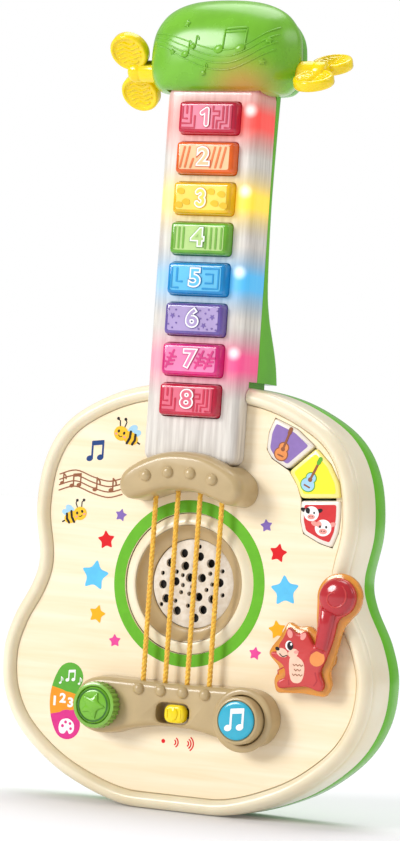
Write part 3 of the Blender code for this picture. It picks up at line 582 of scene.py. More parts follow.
def make_battery_door():
    """A flat door with a tab for its screw and three grip grooves."""
    door = Shape().slab(rectangle(0, BAY_Z, BAY_X - 0.9, BAY_RISE - 0.4, 1.4), DOOR_LEVELS, m_lime)
    door = door.stand_for("battery_door", "green_shell", "battery_door")
    tab = Shape().slab(rectangle(0, TAB_Z, 6.6, 6, 2.2), DOOR_LEVELS, m_lime).finish()
    bore = Shape().turned([(0, 5), (1.7, 5), (1.7, 1.5), (3.4, 1.5), (3.4, -1), (0, -1)],
                          (0, BACK, DOOR_SCREW_Z), m_lime, steps=32).finish()
    grooves = [BAY_Z - 15 + 4 * k for k in range(3)]
    carve(door, [bore, *[block((-16, BACK - 0.7, z), (16, BACK + 1, z + 1.6), m_lime) for z in grooves]], [tab])


def screw_head(cad_node, place, radius, body):
    """Pan-head screw seen from the back, with a cross recess."""
    shape = Shape().turned([(0.6, -9), (1.3, -8), (1.4, -2.2), (radius, -2.2), (radius, -1.2),
                            (radius * 0.95, -0.6), (radius * 0.7, -0.12), (0.6, 0)], place, m_steel, (0, 1, 0), 32)
    x, y, z = place
    carve(shape.stand_for(cad_node, "steel", body),
          [block((x - wide, y - 0.9, z - high), (x + wide, y + 1, z + high), m_steel)
           for wide, high in ((1.7, 0.35), (0.35, 1.7))])


def make_casing():
    outline = body_outline()
    make_front(outline)
    make_back(outline)
    make_battery_door()
    for k, (x, z) in enumerate(CASE_SCREWS):
        screw_head(f"case_screw_{k + 1}", (x, BACK - SCREW_SINK, z), 3.2, "root")
    screw_head("battery_door_screw", (0, BACK - 0.3, DOOR_SCREW_Z), 3.0, "battery_door")


# ---------------------------------------------------------------- sound hole
def make_sound_hole():
    ring = Shape().turned([(32.2, 0.5), (32.6, 0.9), (33.4, 1.0), (34.6, 0.75), (36, 0.2), (37.4, -0.5),
                           (38.4, -1.2), (38.4, -4), (32.2, -4)], SOUND_CENTRE, m_cream, steps=96)
    ring.stand_for("sound_ring", "cream_shell")
    cone = Shape().turned([(24.6, -5.4), (25.0, -4.9), (25.8, -4.7), (27.4, -4.2), (29.4, -2.8), (30.9, -1.0),
                           (31.6, 0.1), (31.9, 0.2), (31.95, -5), (33.5, -5), (33.5, -7.5), (24.6, -7.5)],
                          SOUND_CENTRE, m_tan, steps=96)
    cone.stand_for("sound_cone", "tan_plastic")
    grille = Shape().turned([(0, -4.4), (6, -4.45), (14, -4.7), (20, -5.2), (23.6, -5.7), (24.3, -6.1),
                             (24.3, -7.3), (0, -7.3)], SOUND_CENTRE, m_speckle, steps=72)
    grille = grille.stand_for("speaker_grille", "grille")
    large = [(-6.4, 16.2), (10.2, 11.7), (-14.4, 10.6), (-5, 9.4), (5.6, 3.5), (-1.8, 3.2), (-10.2, 0.5),
             (-18, -1.6), (4.3, -7), (-15.6, -9.2), (-8.4, -15.4), (7.3, -13.8), (12.6, -7.6), (16.2, 1.6),
             (2.6, -18.6), (3.4, 15)]
    small = [(-18.6, 4.6), (-9.9, 5.9), (0.6, 9.4), (-6.1, 4.2), (-5.6, -1.2), (10.4, 6.2), (12, 0.4), (8.8, -2.8),
             (-6.4, -5.2), (-1.4, -5.6), (-9.6, -10.0), (-1.8, -12.2), (0, -1.6), (17.4, 8), (18.4, -5),
             (-12.6, 16.2), (2.6, 20.4), (-18.4, -12.6)]
    carve(grille, [rod(reach, (x, 9, SOUND_CENTRE[2] + z), 8, m_speckle, steps=20)
                   for spots, reach in ((large, 2.45), (small, 1.25)) for x, z in spots])
    ring = Shape().turned([(39.0, 0.14), (45.5, 0.14), (45.6, 0.02), (38.9, 0.02)], SOUND_CENTRE, m_ring, steps=120)
    ring.finish("print_ring", "root", "face_print")


# ---------------------------------------------------------------- neck, keys and head
KEY_TOP, KEY_PITCH, KEY_HALF, KEY_FRONT = 378.2, 22.0, (17.9, 9.1), -18.0
HEAD_HALF = [(0, 392), (30, 392.5), (39.5, 395.5), (43.8, 404), (44.4, 417), (42, 428.5), (34, 438),
             (20, 443.5), (0, 445)]
HEAD_SEAM = 15.0
HEAD_LEVELS = [(HEAD_SEAM, 0.9, 393.5, 442.6), (8, 0.965, 392.4, 444.4), (1, 1, 392, 445), (-5, 0.95, 392, 443.6),
               (-11, 0.88, 392.5, 440.4), (-16, 0.79, 394.5, 434.5), (-19.5, 0.65, 399, 427.5),
               (-21.1, 0.44, 405, 420), (-21.6, 0.22, 409, 416.4)]
HEAD_BACK = [(HEAD_SEAM + GAP, 0.9, 393.5, 442.6), (22, 0.885, 394, 442), (26.5, 0.82, 396, 439),
             (29.0, 0.7, 400.5, 433), (29.9, 0.5, 407, 425)]
PEG_Y, PEG_Z, PEG_X = 5.0, 406.0, 57.0
PEG_TILT = {"peg_left": 40.0, "peg_right": -63.0}
LOBE_RADIUS, LOBE_OFFSET, WAVE_REACH, WAVE_GAP = 11.2, 13.4, 7.4, 2.8


def key_height(index):
    return KEY_TOP - KEY_PITCH * index


def make_fretboard():
    lamps = [(key_height(0), rgb(238, 40, 30)), (key_height(2), rgb(255, 214, 10)),
             (key_height(4), rgb(20, 168, 226)), (key_height(6), rgb(226, 26, 120))]
    lit = fretboard_material(lamps)
    middle, half = (FRET_BOTTOM + FRET_TOP) / 2, (FRET_TOP - FRET_BOTTOM) / 2
    edge = [(NECK_REAR, 0), (NECK_FRONT + 5, 0)] + quarter_round(NECK_FRONT, 4.6, 0, 4.6, 7)
    board = Shape().slab(rectangle(0, middle, NECK_HALF, half, 6.5, 8), edge, lit)
    board = board.stand_for("fretboard", "neck_white", smooth=50)
    cuts = [block((-32, -0.4, 180), (32, 20, BODY_TOP), lit)]
    for k in range(8):
        window = rectangle(0, key_height(k), KEY_HALF[0] + GAP, KEY_HALF[1] + GAP, 2.8)
        cuts.append(Shape().plate(window, 12, -16, lit).finish())
    carve(board, cuts, smooth=50)


def key_lines(index):
    """Raised lines of each key as pen paths about its centre."""
    if index in (0, 7):
        return [[(-15.6, 6), (-15.6, -1), (-12.6, -1)], [(-12.8, 6), (-12.8, 2.2)],
                [(-15.6, -3.8), (-10, -3.8), (-10, 6)], [(-15.6, -6.4), (-7.6, -6.4), (-7.6, 0.4)],
                [(4, 6), (4, 3.4), (8, 3.4), (8, 0.8), (4.4, 0.8), (4.4, -6.2)],
                [(6.6, -6.2), (6.6, -2), (10.4, -2), (10.4, 6)],
                [(12.8, 6.2), (12.8, -3.8), (9, -3.8), (9, -6.2)], [(15.4, 6.2), (15.4, -6.2), (12, -6.2)]]
    if index == 1:
        return [[(-15 + 3.2 * k, -5.8), (-12.6 + 3.2 * k, 5.8)] for k in range(2)] + [
            [(4.2 + 3.4 * k, -5.8), (6.8 + 3.4 * k, 5.8)] for k in range(3)] + [[(-8.4, -6), (-6.8, -1)]]
    if index == 3:
        return [[(x, -5.8), (x, 5.8)] for x in (-15.2, -12.4, -9.6, 4.8, 8, 11.2, 14.6)]
    if index == 4:
        return [[(-15.4, 5.6), (-15.4, -5.6), (-11, -5.6)], [(-12, 5.6), (-12, -2), (-8.6, -2)],
                [(5, 5.8), (14.6, 5.8), (14.6, -5.8), (5, -5.8)],
                [(6.6, 2.6), (11.2, 2.6), (11.2, -2.6), (6.6, -2.6)]]
    if index == 6:
        leaf = []
        for x in (-12.8, 6, 12):
            leaf.append([(x - 2.4, -5), (x + 2.4, 5)])
            leaf += [[(x - 2.8 + 1.2 * s, -1.6 + 2.4 * s), (x - 0.7 + 1.1 * s, -2.4 + 2.2 * s)] for s in range(3)]
            leaf += [[(x - 0.6 + 1.2 * s, -3.4 + 2.2 * s), (x + 1.9 + 0.9 * s, -3 + 2.1 * s)] for s in range(3)]
        return leaf
    return []


def key_spots(index):
    """Outlines of the raised pebbles, stars and dots of two keys, about the key's centre."""
    if index == 2:
        return [closed_line([(x - 2.6, z), (x - 0.6, z + 1.9), (x + 2.2, z + 1.2), (x + 2.5, z - 1.2), (x, z - 1.8)],
                            4) for x, z in ((-13.4, 3.6), (-9.6, -2.6), (-14.2, -4.4), (5.8, 3.6), (8.6, -3.2),
                                            (12.6, 2.2), (14.4, -4.4))]
    if index == 5:
        spots = [star(x, z, 1.9, 36, 0.4) for x, z in ((-13, 1.6), (12.4, 1.4), (7.2, -3.6))]
        return spots + [ellipse(x, z, 0.55, count=8) for x, z in (
            (-15.6, 5.2), (-11, 5), (-15.4, -3.4), (-10.4, -2.6), (-12.8, -5.4), (-9, 1.2), (4.4, 5), (8, 3.4),
            (15.6, 5), (10, 5.6), (5, 0.4), (9.4, 0), (15.6, -2.6), (12.6, -5.2), (4.2, -5.6), (9.6, -5.8),
            (15.2, -6))]
    return []


def digit_mesh(text, size, grow, place, depth, thick):
    """A digit's closed mesh from the built-in font, thickened by grow, standing on the key."""
    curve = bpy.data.curves.new("digit", 'FONT')
    curve.body, curve.size = text, size * MM
    curve.align_x, curve.align_y = 'CENTER', 'CENTER'
    curve.offset, curve.extrude, curve.resolution_u = grow * MM, thick / 2 * MM, 4
    obj = bpy.data.objects.new("digit", curve)
    obj.matrix_world = Matrix.Translation(at(place[0], depth - thick / 2, place[1])) @ Matrix.Rotation(
        math.pi / 2, 4, 'X') @ Matrix.Scale(1.12, 4, (1, 0, 0))
    scene.collection.objects.link(obj)
    bpy.context.view_layer.update()
    mesh = bpy.data.meshes.new_from_object(obj.evaluated_get(bpy.context.evaluated_depsgraph_get()))
    mesh.transform(obj.matrix_world)
    bpy.data.objects.remove(obj)
    welded = bmesh.new()
    welded.from_mesh(mesh)
    bmesh.ops.remove_doubles(welded, verts=welded.verts, dist=1e-6)
    welded.to_mesh(mesh)
    welded.free()
    return mesh


def add_mesh(shape, mesh, material):
    before = len(shape.bm.faces)
    shape.bm.from_mesh(mesh)
    shape.bm.faces.ensure_lookup_table()
    shape.faces(shape.bm.faces[before:], material)
    bpy.data.meshes.remove(mesh)


# The font draws 1 and 3 badly when thickened, so they are pen strokes about the key's centre.
DIGIT_STROKES = {"1": [[(-2.4, 2.2), (0.4, 4.0)], [(0.4, 4.0), (0.4, -3.9)]],
                 "3": [arc(-0.2, 1.95, 1.95, 150, -78, 14), arc(-0.2, -1.95, 2.05, 78, -150, 14)]}
DIGIT_X, DIGIT_SIZE = -0.2, 13.2
# Overlapping marks differ by a hair in height, so that no two faces lie in one plane.
HAIR, MARK_SHARE, MARK_WIDTH, MARK_RISE = 0.012, 0.94, 1.15, 0.36


def make_key(index):
    name, z = f"key_{index + 1}", key_height(index)
    colour, inlay = KEY_COLOURS[index], KEY_INLAYS[index]
    clear = gloss(f"{name}_clear", colour, 0.22, 0.1, Subsurface_Weight=0.25, Subsurface_Scale=0.003)
    pale = gloss(f"{name}_inlay", inlay, 0.12, 0.24)
    line = gloss(f"{name}_line", mix(colour, inlay, 0.15), 0.15, 0.2)
    painted_shade_rim = gloss(f"{name}_relief", darker(colour, 0.15), 0.15, 0.2)
    levels = [(-8.0, 0.1), (NECK_FRONT, 0), (KEY_FRONT + 2.4, 0.5)] + quarter_round(KEY_FRONT, 2.4, 0.5, 1.9, 6)
    shape = Shape().slab(rectangle(0, z, *KEY_HALF, 3.0, 6), levels, clear)
    shape.plate(rectangle(0, z, KEY_HALF[0] - 2.9, KEY_HALF[1] - 2.5, 1.4), KEY_FRONT + 0.1, KEY_FRONT - 0.1, pale)
    marks = [stroke([(x * MARK_SHARE, h * MARK_SHARE) for x, h in path], MARK_WIDTH) for path in key_lines(index)]
    marks += [[(p[0] * MARK_SHARE, p[1] * MARK_SHARE) for p in spot] for spot in key_spots(index)]
    for number, mark in enumerate(marks):
        shape.plate([(p[0], z + p[1]) for p in mark], KEY_FRONT, KEY_FRONT - MARK_RISE - HAIR * number, line)
    text = str(index + 1)
    # Each digit stands in three raised layers: a rim in the key's colour darkened as painted shade round the digit,
    # then a white outline and a pale fill.
    for grow, rise, material in ((1.2, 0.62, painted_shade_rim), (0.9, 0.8, m_white), (0.12, 0.95, pale)):
        if text not in DIGIT_STROKES:
            add_mesh(shape, digit_mesh(text, DIGIT_SIZE, grow, (DIGIT_X, z), KEY_FRONT, rise), material)
        for number, path in enumerate(DIGIT_STROKES.get(text, [])):
            limb = stroke([(DIGIT_X + p[0], z + p[1]) for p in path], 1.4 + 2 * grow)
            shape.plate(limb, KEY_FRONT, KEY_FRONT - rise - HAIR * number, material)
    shape.stand_for(name, KEY_SLOTS[index], name)


def neck_section(height, rear):
    """Half-round back of the neck, from its flat front edge to its rear face."""
    front, bend = NECK_REAR + GAP, 8.5
    start = max(rear - bend, front + 0.2)
    half = [(NECK_HALF, front), (NECK_HALF, start)]
    for k in range(1, 9):
        angle = math.pi / 2 * k / 8
        half.append((NECK_HALF - 11 * (1 - math.cos(angle)), start + (rear - start) * math.sin(angle)))
    return [at(x, y, height) for x, y in half + [(-x, y) for x, y in reversed(half)]]


def make_neck_shell():
    rears = smooth_line([(BODY_TOP, 43.5), (246, 41), (255, 37), (264, 32), (274, 27), (290, 22.8),
                         (330, 20.4), (370, 21.4), (400, 23)], 4, (228, 45), (430, 24))
    shell = Shape().loft([neck_section(p.x, p.y) for p in rears], m_lime)
    shell = shell.stand_for("neck_shell", "green_shell", smooth=50)
    head = Shape().loft(pillow(HEAD_BACK), m_lime).finish()
    heel = block((-24.5, 5, 206), (24.5, 27.8, BODY_TOP + 2), m_lime)
    carve(shell, [], [head, heel], smooth=50)


def pillow(levels):
    """The head's outline narrowed and lowered towards the front; a level is depth, width, foot, top."""
    outline = mirrored(HEAD_HALF, 9)
    foot, top = HEAD_HALF[0][1], HEAD_HALF[-1][1]
    return [[at(p.x * width, depth, low + (p.y - foot) * (high - low) / (top - foot)) for p in outline]
            for depth, width, low, high in smooth_rows(levels, 4)]


def make_head():
    green = head_material()
    cover = Shape().loft(pillow(HEAD_LEVELS), green)
    cover = cover.stand_for("head_cover", "head_green", smooth=60)
    front = BVHTree.FromObject(cover, bpy.context.evaluated_depsgraph_get())
    carve(cover, [block((-NECK_HALF - GAP, NECK_FRONT - GAP, 380),
                        (NECK_HALF + GAP, NECK_REAR + 0.6, FRET_TOP + NECK_SLACK), green),
                  *[rod(6.7, (side * 30, PEG_Y, PEG_Z), 20, green, (side, 0, 0), 40) for side in (-1, 1)]], smooth=60)
    make_relief(front, green)
    for name, side in (("peg_left", -1), ("peg_right", 1)):
        make_peg(name, side)


def make_relief(front, green):
    """Raised music signs that follow the head's front, which is a search tree of its faces."""
    relief = Shape()

    def touch(x, z, rise):
        """A point that stands off the head's front at x, z."""
        place, normal, *_ = front.ray_cast(at(x, -60, z), Vector((0, 1, 0)))
        return place + (normal if normal.y < 0 else -normal) * rise * MM

    def ridge(radius, *points):
        path = [touch(p.x, p.y, 0.1) for p in open_line(points, 6)]
        ends = [radius * 0.35, radius * 0.75]
        relief.tube(path, ends + [radius] * (len(path) - 4) + ends[::-1], green)

    def raised(outline, rise):
        middle = sum(outline, Vector((0, 0))) / len(outline)
        relief.loft([[touch(*p.lerp(middle, share), height) for p in outline]
                     for share, height in ((0, -0.5), (0, rise * 0.7), (0.14, rise))], green)

    for k in range(4):
        drop = 3.6 * k
        ridge(0.42, (-37, 424 - drop * 0.55), (-28, 423.4 - drop * 0.7), (-17, 420.4 - drop * 0.9), (-6, 416.8 - drop),
              (4, 414.6 - drop), (14, 415 - drop), (23, 418.6 - drop), (31, 424.4 - drop * 1.1),
              (37, 428.6 - drop * 1.15))
    for x, z, size in ((6.0, 414.8, 1.1), (18.6, 415.4, 1.1), (-14, 412, 0.85), (-9.6, 416.2, 0.7), (-3, 401.8, 0.6)):
        raised(ellipse(x, z, 2.6 * size, 1.9 * size, 25, 18), 0.9)
        if size < 1:
            tip = (x + 2.4 * size, z + 9 * size)
            ridge(0.5, (x + 2.1 * size, z + 1), (x + 2.3 * size, z + 5 * size), tip)
            ridge(0.45, tip, (x + 4 * size, z + 7.4 * size), (x + 4.6 * size, z + 5 * size))
    for x, z in ((8.4, 415.6), (21, 416.2)):
        ridge(0.6, (x, z), (x + 0.1, z + 5), (x + 0.3, z + 10.4))
    for lift in (10.4, 8.6):
        ridge(0.8, (8.6, 415.6 + lift), (14.8, 416.2 + lift), (21.3, 416.6 + lift))
    for x, z, size in ((33, 420.5, 2.3), (31, 408.6, 2.2), (-15.5, 429, 2.4), (-22, 413.2, 1.8)):
        raised(star(x, z, size), 0.7)
    relief.finish("head_relief", "root", "head_green", smooth=60)


def make_peg(name, side):
    """A barrel along x with a flat paddle of two round lobes with embossed waves."""
    tilt = math.radians(PEG_TILT[name])
    barrel = Shape().turned([(0, 3), (3.6, 3), (5.0, 2.5), (6.0, 1.3), (6.3, 0), (6.3, -4), (6.05, -4.6), (6.3, -5.2),
                             (6.3, -21.8), (7.3, -21.8), (7.3, -23.4), (0, -23.4)],
                            (side * PEG_X, PEG_Y, PEG_Z), m_yellow, (side, 0, 0), 40)
    barrel = barrel.stand_for(name, "peg_yellow", name, smooth=45)
    along = Vector((0, -math.sin(tilt), math.cos(tilt)))
    flat = Vector((0, math.cos(tilt), math.sin(tilt)))
    profile = [(0, 2.0), (8.3, 2.0), (8.8, 2.3), (9.2, 2.85), (9.9, 3.0), (10.7, 2.7), (LOBE_RADIUS, 1.7)]
    profile += [(reach, -high) for reach, high in reversed(profile)]
    lobes, waves = [], Shape()
    for end in (-1, 1):
        centre = Vector((side * PEG_X, PEG_Y, PEG_Z)) + along * end * LOBE_OFFSET
        lobes.append(Shape().turned(profile, centre, m_yellow, flat, 48).finish())
        for face in (-1, 1):
            for k in range(-2, 3):
                span = math.sqrt(WAVE_REACH ** 2 - (WAVE_GAP * k) ** 2)
                path = []
                for step in range(13):
                    s = -span + 2 * span * step / 12
                    w = WAVE_GAP * k + 0.7 * math.sin(s * 0.75)
                    path.append(at(*centre) + (Vector((side, 0, 0)) * s + along * w + flat * face * 1.95) * MM)
                waves.tube(path, 0.55, m_yellow, 6)
    carve(barrel, [], lobes, smooth=45)
    waves.finish(f"{name}_waves", name, "peg_yellow", smooth=60)


# ---------------------------------------------------------------- nut, bridge and cords
STRING_X, STRING_Y = (-20.0, -6.67, 6.67, 20.0), -7.0
NUT_FRONT, BRIDGE_FRONT = -22.0, -12.0
NUT_HALF = [(0, 174.5), (10, 173.6), (19, 170.8), (26, 168.4), (31.8, 168.2), (36.2, 171.2), (38, 176.6),
            (36.4, 182.6), (31.5, 187.4), (23.5, 191.8), (12.5, 195.8), (0, 197)]
BRIDGE_HALF = [(0, 46.0), (14, 45.4), (27, 42.8), (36, 40.0), (46, 39.2), (55, 43), (60, 51),
               (60, 59), (55, 67), (46, 70.8), (30, 71), (0, 70.5)]


def soft_edge(back, side, front, radius, lean):
    """Levels of a side that ends in a quarter-round front edge."""
    return [(back, 0), (side, lean)] + quarter_round(front, side - front, lean, radius, 6)


def cord_holes(low, high):
    """Tools for the bores that the cords' ends run into."""
    return [rod(1.9, (x, STRING_Y, low), high - low, m_tan, (0, 0, 1)) for x in STRING_X]


def dome_row(front, height):
    """A dome in front of each cord; height gives its z from its x."""
    return [Shape().dome(at(x, front, height(x)), Vector((0, -1, 0)), 3.3, 2.5, m_tan).finish() for x in STRING_X]


def make_nut_and_bridge():
    nut = Shape().slab(mirrored(NUT_HALF, 8), soft_edge(-GAP, -15.5, NUT_FRONT, 4.4, 0.7), m_tan)
    half = NECK_HALF + NECK_SLACK
    neck = block((-half, NECK_FRONT - NECK_SLACK, FRET_BOTTOM - NECK_SLACK), (half, 5, 205), m_tan)
    carve(nut.stand_for("string_nut", "tan_plastic", smooth=50), [neck, *cord_holes(160, 181)],
          dome_row(NUT_FRONT, lambda x: 184.8 - 0.0072 * x * x), smooth=50)

    bridge = Shape().slab(mirrored(BRIDGE_HALF, 8), soft_edge(-GAP, -8.6, BRIDGE_FRONT, 3.4, 0.6), m_tan)
    slot = Shape().slab(rectangle(*SLOT_CENTRE, *SLOT_HALF, 5.0, 8),
                        [(2, 0), (-11.2, 0), (-12.2, -1.2), (-16, -1.2)], m_tan).finish()
    holes = [rod(radius, (x, 2, z), 18, m_tan, steps=steps) for radius, (x, z), steps in (
        (3.6, KNOB, 24), (13.5, MELODY, 56))]
    carve(bridge.stand_for("bridge", "tan_plastic", smooth=50), [*cord_holes(66.2, 80), *holes, slot],
          dome_row(BRIDGE_FRONT, lambda x: 65.7), smooth=50)
    lip = Shape().turned([(13.5, 12.0), (13.9, 12.7), (15.4, 12.9), (16.8, 12.5), (17.4, 11.8), (13.5, 11.6)],
                         (MELODY[0], 0, MELODY[1]), m_tan, steps=72)
    lip.finish("melody_rim", "root", "tan_plastic")


def make_cords():
    """Each cord is three plies laid round each other, as thick as the cord that they stand for."""
    low, high, lay, offset, ply, count = 67.0, 180.0, 7.5, 0.68, 0.84, 150
    for number, x in enumerate(STRING_X):
        cord = Shape()
        for strand in range(3):
            path = []
            for k in range(count + 1):
                z = low + (high - low) * k / count
                angle = 2 * math.pi * (z / lay + strand / 3)
                path.append(at(x + offset * math.cos(angle), STRING_Y + offset * math.sin(angle), z))
            cord.tube(path, ply, m_cord, 7)
        cord.stand_for(f"string_{number + 1}", "string_cord", smooth=70)


# ---------------------------------------------------------------- signs
def note_pair(x, z, size):
    """Two beamed notes; the beam rises by eight degrees."""
    gap, tall = 6.2 * size, 8.4 * size
    left, right, rise = x - gap / 2, x + gap / 2, gap * math.tan(math.radians(8))
    stems = [(left, z), (right, z + rise)]
    shapes = [ellipse(stem - 1.3 * size, foot, 2.0 * size, 1.5 * size, 20, 20) for stem, foot in stems]
    shapes += [stroke([(stem, foot), (stem, foot + tall)], 1.1 * size) for stem, foot in stems]
    near, far, low, high = left - 0.5 * size, right + 0.5 * size, z + tall - 1.6 * size, z + tall + 0.9 * size
    return shapes + [rounded([(near, low), (far, rise + low), (far, rise + high), (near, high)], 0.4 * size)]


def single_note(x, z, size):
    """One note with a flag; x, z is its head."""
    stem, top = x + 1.2 * size, z + 8 * size
    flag = open_line([(stem, top), (x + 3.4 * size, z + 5.8 * size), (x + 3.6 * size, z + 3.6 * size)], 5)
    return [ellipse(x, z, 1.9 * size, 1.4 * size, 20, 18), stroke([(stem, z), (stem, top)], 1.0 * size),
            stroke(flag, 1.1 * size)]


class Printing:
    """Flat coloured shapes on a face at one depth; each later one stands a hair in front of the last."""

    def __init__(self, depth=0.0, step=0.07):
        self.depth, self.step, self.shape, self.count = depth, step, Shape(), 0

    def add(self, layer, material, *outlines):
        for outline in outlines:
            self.count += 1
            hair = 0.005 * (self.count % 12)
            self.shape.plate(outline, self.depth - 0.02, self.depth - self.step * (layer + 1) - hair, material)
        return self

    def finish(self, name, body="root", slot="face_print"):
        return self.shape.finish(name, body, slot, smooth=30)


def bee(sheet, x, z, size, turn, facing):
    """A striped bee of simple ovals."""
    spin = Matrix.Rotation(math.radians(turn), 2)

    def place(dx, dz):
        return Vector((x, z)) + spin @ Vector((dx * facing, dz)) * size

    def spot(dx, dz, a, b=None, angle=0.0):
        return ellipse(*place(dx, dz), a * size, (a if b is None else b) * size, turn + angle * facing, 26)

    def line(width, *points):
        return stroke([place(*p) for p in points], width * size)

    sheet.add(0, m_wing, spot(2.6, 4.2, 3.6, 2.3, 60), spot(5.6, 3.2, 3.1, 1.9, 35))
    sheet.add(0, m_black, line(0.7, (-5.4, 3.2), (-6.6, 6.2), (-8.2, 7.0)),
              line(0.7, (-2.6, 3.8), (-2.4, 6.8), (-3.6, 8.2)), spot(-8.2, 7.0, 0.9), spot(-3.7, 8.2, 0.9),
              line(0.9, (7.6, -1.2), (9.6, -1.6)))
    sheet.add(1, m_bee, spot(3.0, -0.6, 5.0, 3.6, -6))
    sheet.add(2, m_black, line(1.5, (2.0, 2.8), (2.7, -0.6), (2.0, -4.0)),
              line(1.5, (5.4, 2.2), (6.2, -0.8), (5.4, -3.4)))
    sheet.add(2, m_bee, spot(-3.4, -0.2, 4.5, 4.1))
    sheet.add(3, m_black, spot(-5.2, 0.6, 0.75, 0.95), spot(-1.6, 0.6, 0.75, 0.95),
              line(0.5, (-4.5, -1.6), (-3.4, -2.2), (-2.3, -1.6)))
    sheet.add(3, m_blush, spot(-6.2, -1.4, 0.9, 0.6), spot(-0.5, -1.4, 0.9, 0.6))


def make_prints():
    stars = Printing()
    for x, z, reach, colour, turn in ((44.2, 159.2, 3.9, m_star_purple, 10), (52.2, 144.9, 5.7, m_star_red, -8),
                                      (57.7, 124.9, 9.2, m_star_blue, 6), (54.7, 103.7, 5.6, m_star_yellow, 12),
                                      (42.6, 89.9, 4.0, m_star_pink, -6)):
        stars.add(0, colour, star(x, z, reach, turn), star(-x, z, reach, -turn))
    stars.finish("print_stars")

    bees = Printing()
    bee(bees, -44.4, 203.4, 0.98, -18, 1)
    bee(bees, -72.6, 157.6, 0.9, 20, -1)
    bees.finish("print_bees")

    signs = Printing().add(0, m_navy, *note_pair(-61.5, 189.4, 1.05))
    for drop in (0, 3.0, 6.0, 9.0):
        signs.add(0, m_brown, stroke(open_line([(-84, 179.6 - drop), (-74, 182.4 - drop), (-63, 179.2 - drop),
                                                (-53, 177.4 - drop), (-44.5, 179.6 - drop)], 5), 0.7))
    signs.add(1, m_brown, *note_pair(-73, 173.6, 0.72), *single_note(-61.5, 172.4, 0.8),
              *single_note(-51.5, 172.6, 0.8), *single_note(-82.4, 174.8, 0.66))
    signs.finish("print_notes")

    volume = Printing().add(0, m_star_red, ellipse(-8.7, 37.8, 1.15))
    for x, waves in ((-2.6, 2), (5.2, 3)):
        for k in range(waves):
            volume.add(0, m_star_red, stroke(arc(x, 37.7, 1.5 + 1.45 * k, -52, 52, 8), 0.75))
    volume.finish("print_volume")
    print_modes()


def print_modes():
    """The label beside the mode knob: three coloured fields with notes, digits and a palette."""
    label = Printing()
    hub, inner, outer = (-46.0, 54.4), 18.0, 34.4
    for start, end, tint in ((150, 167.5, m_label_green), (167.5, 193.5, m_label_orange),
                             (193.5, 210, m_label_pink)):
        label.add(0, tint, band(*hub, inner, outer, start, end, 8))
    for angle, tint in ((150, m_label_green), (210, m_label_pink)):
        end = arc(*hub, (inner + outer) / 2, angle, angle + 1, 1)[0]
        label.add(0, tint, ellipse(*end, (outer - inner) / 2))
    palette = closed_line([(-73.7, 39.8), (-72.3, 43.4), (-68.1, 44.6), (-64.5, 42.2), (-64.3, 38.2), (-66.7, 36.2),
                           (-68.3, 38.2), (-70.1, 36.2), (-72.7, 36.6)], 4)
    label.add(1, m_white, *note_pair(-67.6, 65.9, 0.6), *single_note(-62.8, 64.4, 0.42),
              *single_note(-74.6, 64.0, 0.42), palette)
    label.add(2, m_label_pink, ellipse(-71.3, 40.4, 0.9), ellipse(-69.5, 42.6, 0.85), ellipse(-66.7, 42, 0.8),
              ellipse(-66.1, 39.2, 0.8))
    for text, x, z in (("1", -77.3, 53.6), ("2", -72.3, 55.4), ("3", -67.3, 53.4)):
        add_mesh(label.shape, digit_mesh(text, 7.0, 0.28, (x, z), 0, 0.22), m_white)
    label.finish("print_modes")


# ---------------------------------------------------------------- controls
TONE_KEYS = [
    [(45, 218), (59, 212.5), (70.2, 203.7), (54.8, 190), (44.5, 195.5), (41, 200.5), (41.8, 210)],
    [(70.8, 203.2), (80, 194.5), (85.5, 185), (87.2, 176.4), (63.5, 174.9), (60.5, 182), (55.2, 189.3)],
    [(87.3, 175.8), (87.6, 166), (87, 158), (83.8, 149.5), (76, 151.5), (66, 156.2), (63.8, 163),
     (63.5, 174.3)]]


def guitar_sign(sheet, foot, head, dark, light):
    """A small guitar from its foot to its head: body of two ovals, neck, hole and bridge."""
    foot, head = Vector(foot), Vector(head)
    length, along = (head - foot).length, (head - foot).normalized()
    across = Vector((along.y, -along.x))
    angle = math.degrees(math.atan2(along.y, along.x))

    def place(share):
        return foot + along * length * share

    for layer, grow, tint in ((1, 0.035, dark), (2, 0, light)):
        sheet.add(layer, tint, ellipse(*place(0.17), length * (0.19 + grow), length * (0.215 + grow), angle),
                  ellipse(*place(0.40), length * (0.14 + grow), length * (0.155 + grow), angle))
    sheet.add(3, m_brown, stroke([place(0.42), place(0.93)], length * 0.075))
    sheet.add(3, dark, stroke([place(0.9), place(1.03)], length * 0.13))
    wide = across * length * 0.09
    sheet.add(3, m_brown, ellipse(*place(0.34), length * 0.07),
              stroke([place(0.12) - wide, place(0.12) + wide], length * 0.05))


def animal_face(sheet, x, z, size, patch):
    """A white animal's head with two ears, a patch, eyes and a muzzle."""

    def oval(dx, dz, a, b=None, turn=0.0, count=28):
        return ellipse(x + dx * size, z + dz * size, a * size, (a if b is None else b) * size, turn, count)

    sheet.add(1, patch, oval(-4.6, 1.8, 1.9, 1.1, -20), oval(4.6, 1.8, 1.9, 1.1, 20))
    sheet.add(1, m_white, oval(0, 0, 4.3, 4.0))
    sheet.add(2, patch, oval(-2.2, 1.6, 1.3, 1.6, 15))
    sheet.add(3, m_black, oval(-1.6, 0.5, 0.5, 0.65, count=12), oval(1.6, 0.5, 0.5, 0.65, count=12))
    sheet.add(3, m_blush, oval(0, -1.7, 2.1, 1.3))
    sheet.add(4, m_black, oval(-0.7, -1.6, 0.3, count=10), oval(0.7, -1.6, 0.3, count=10))


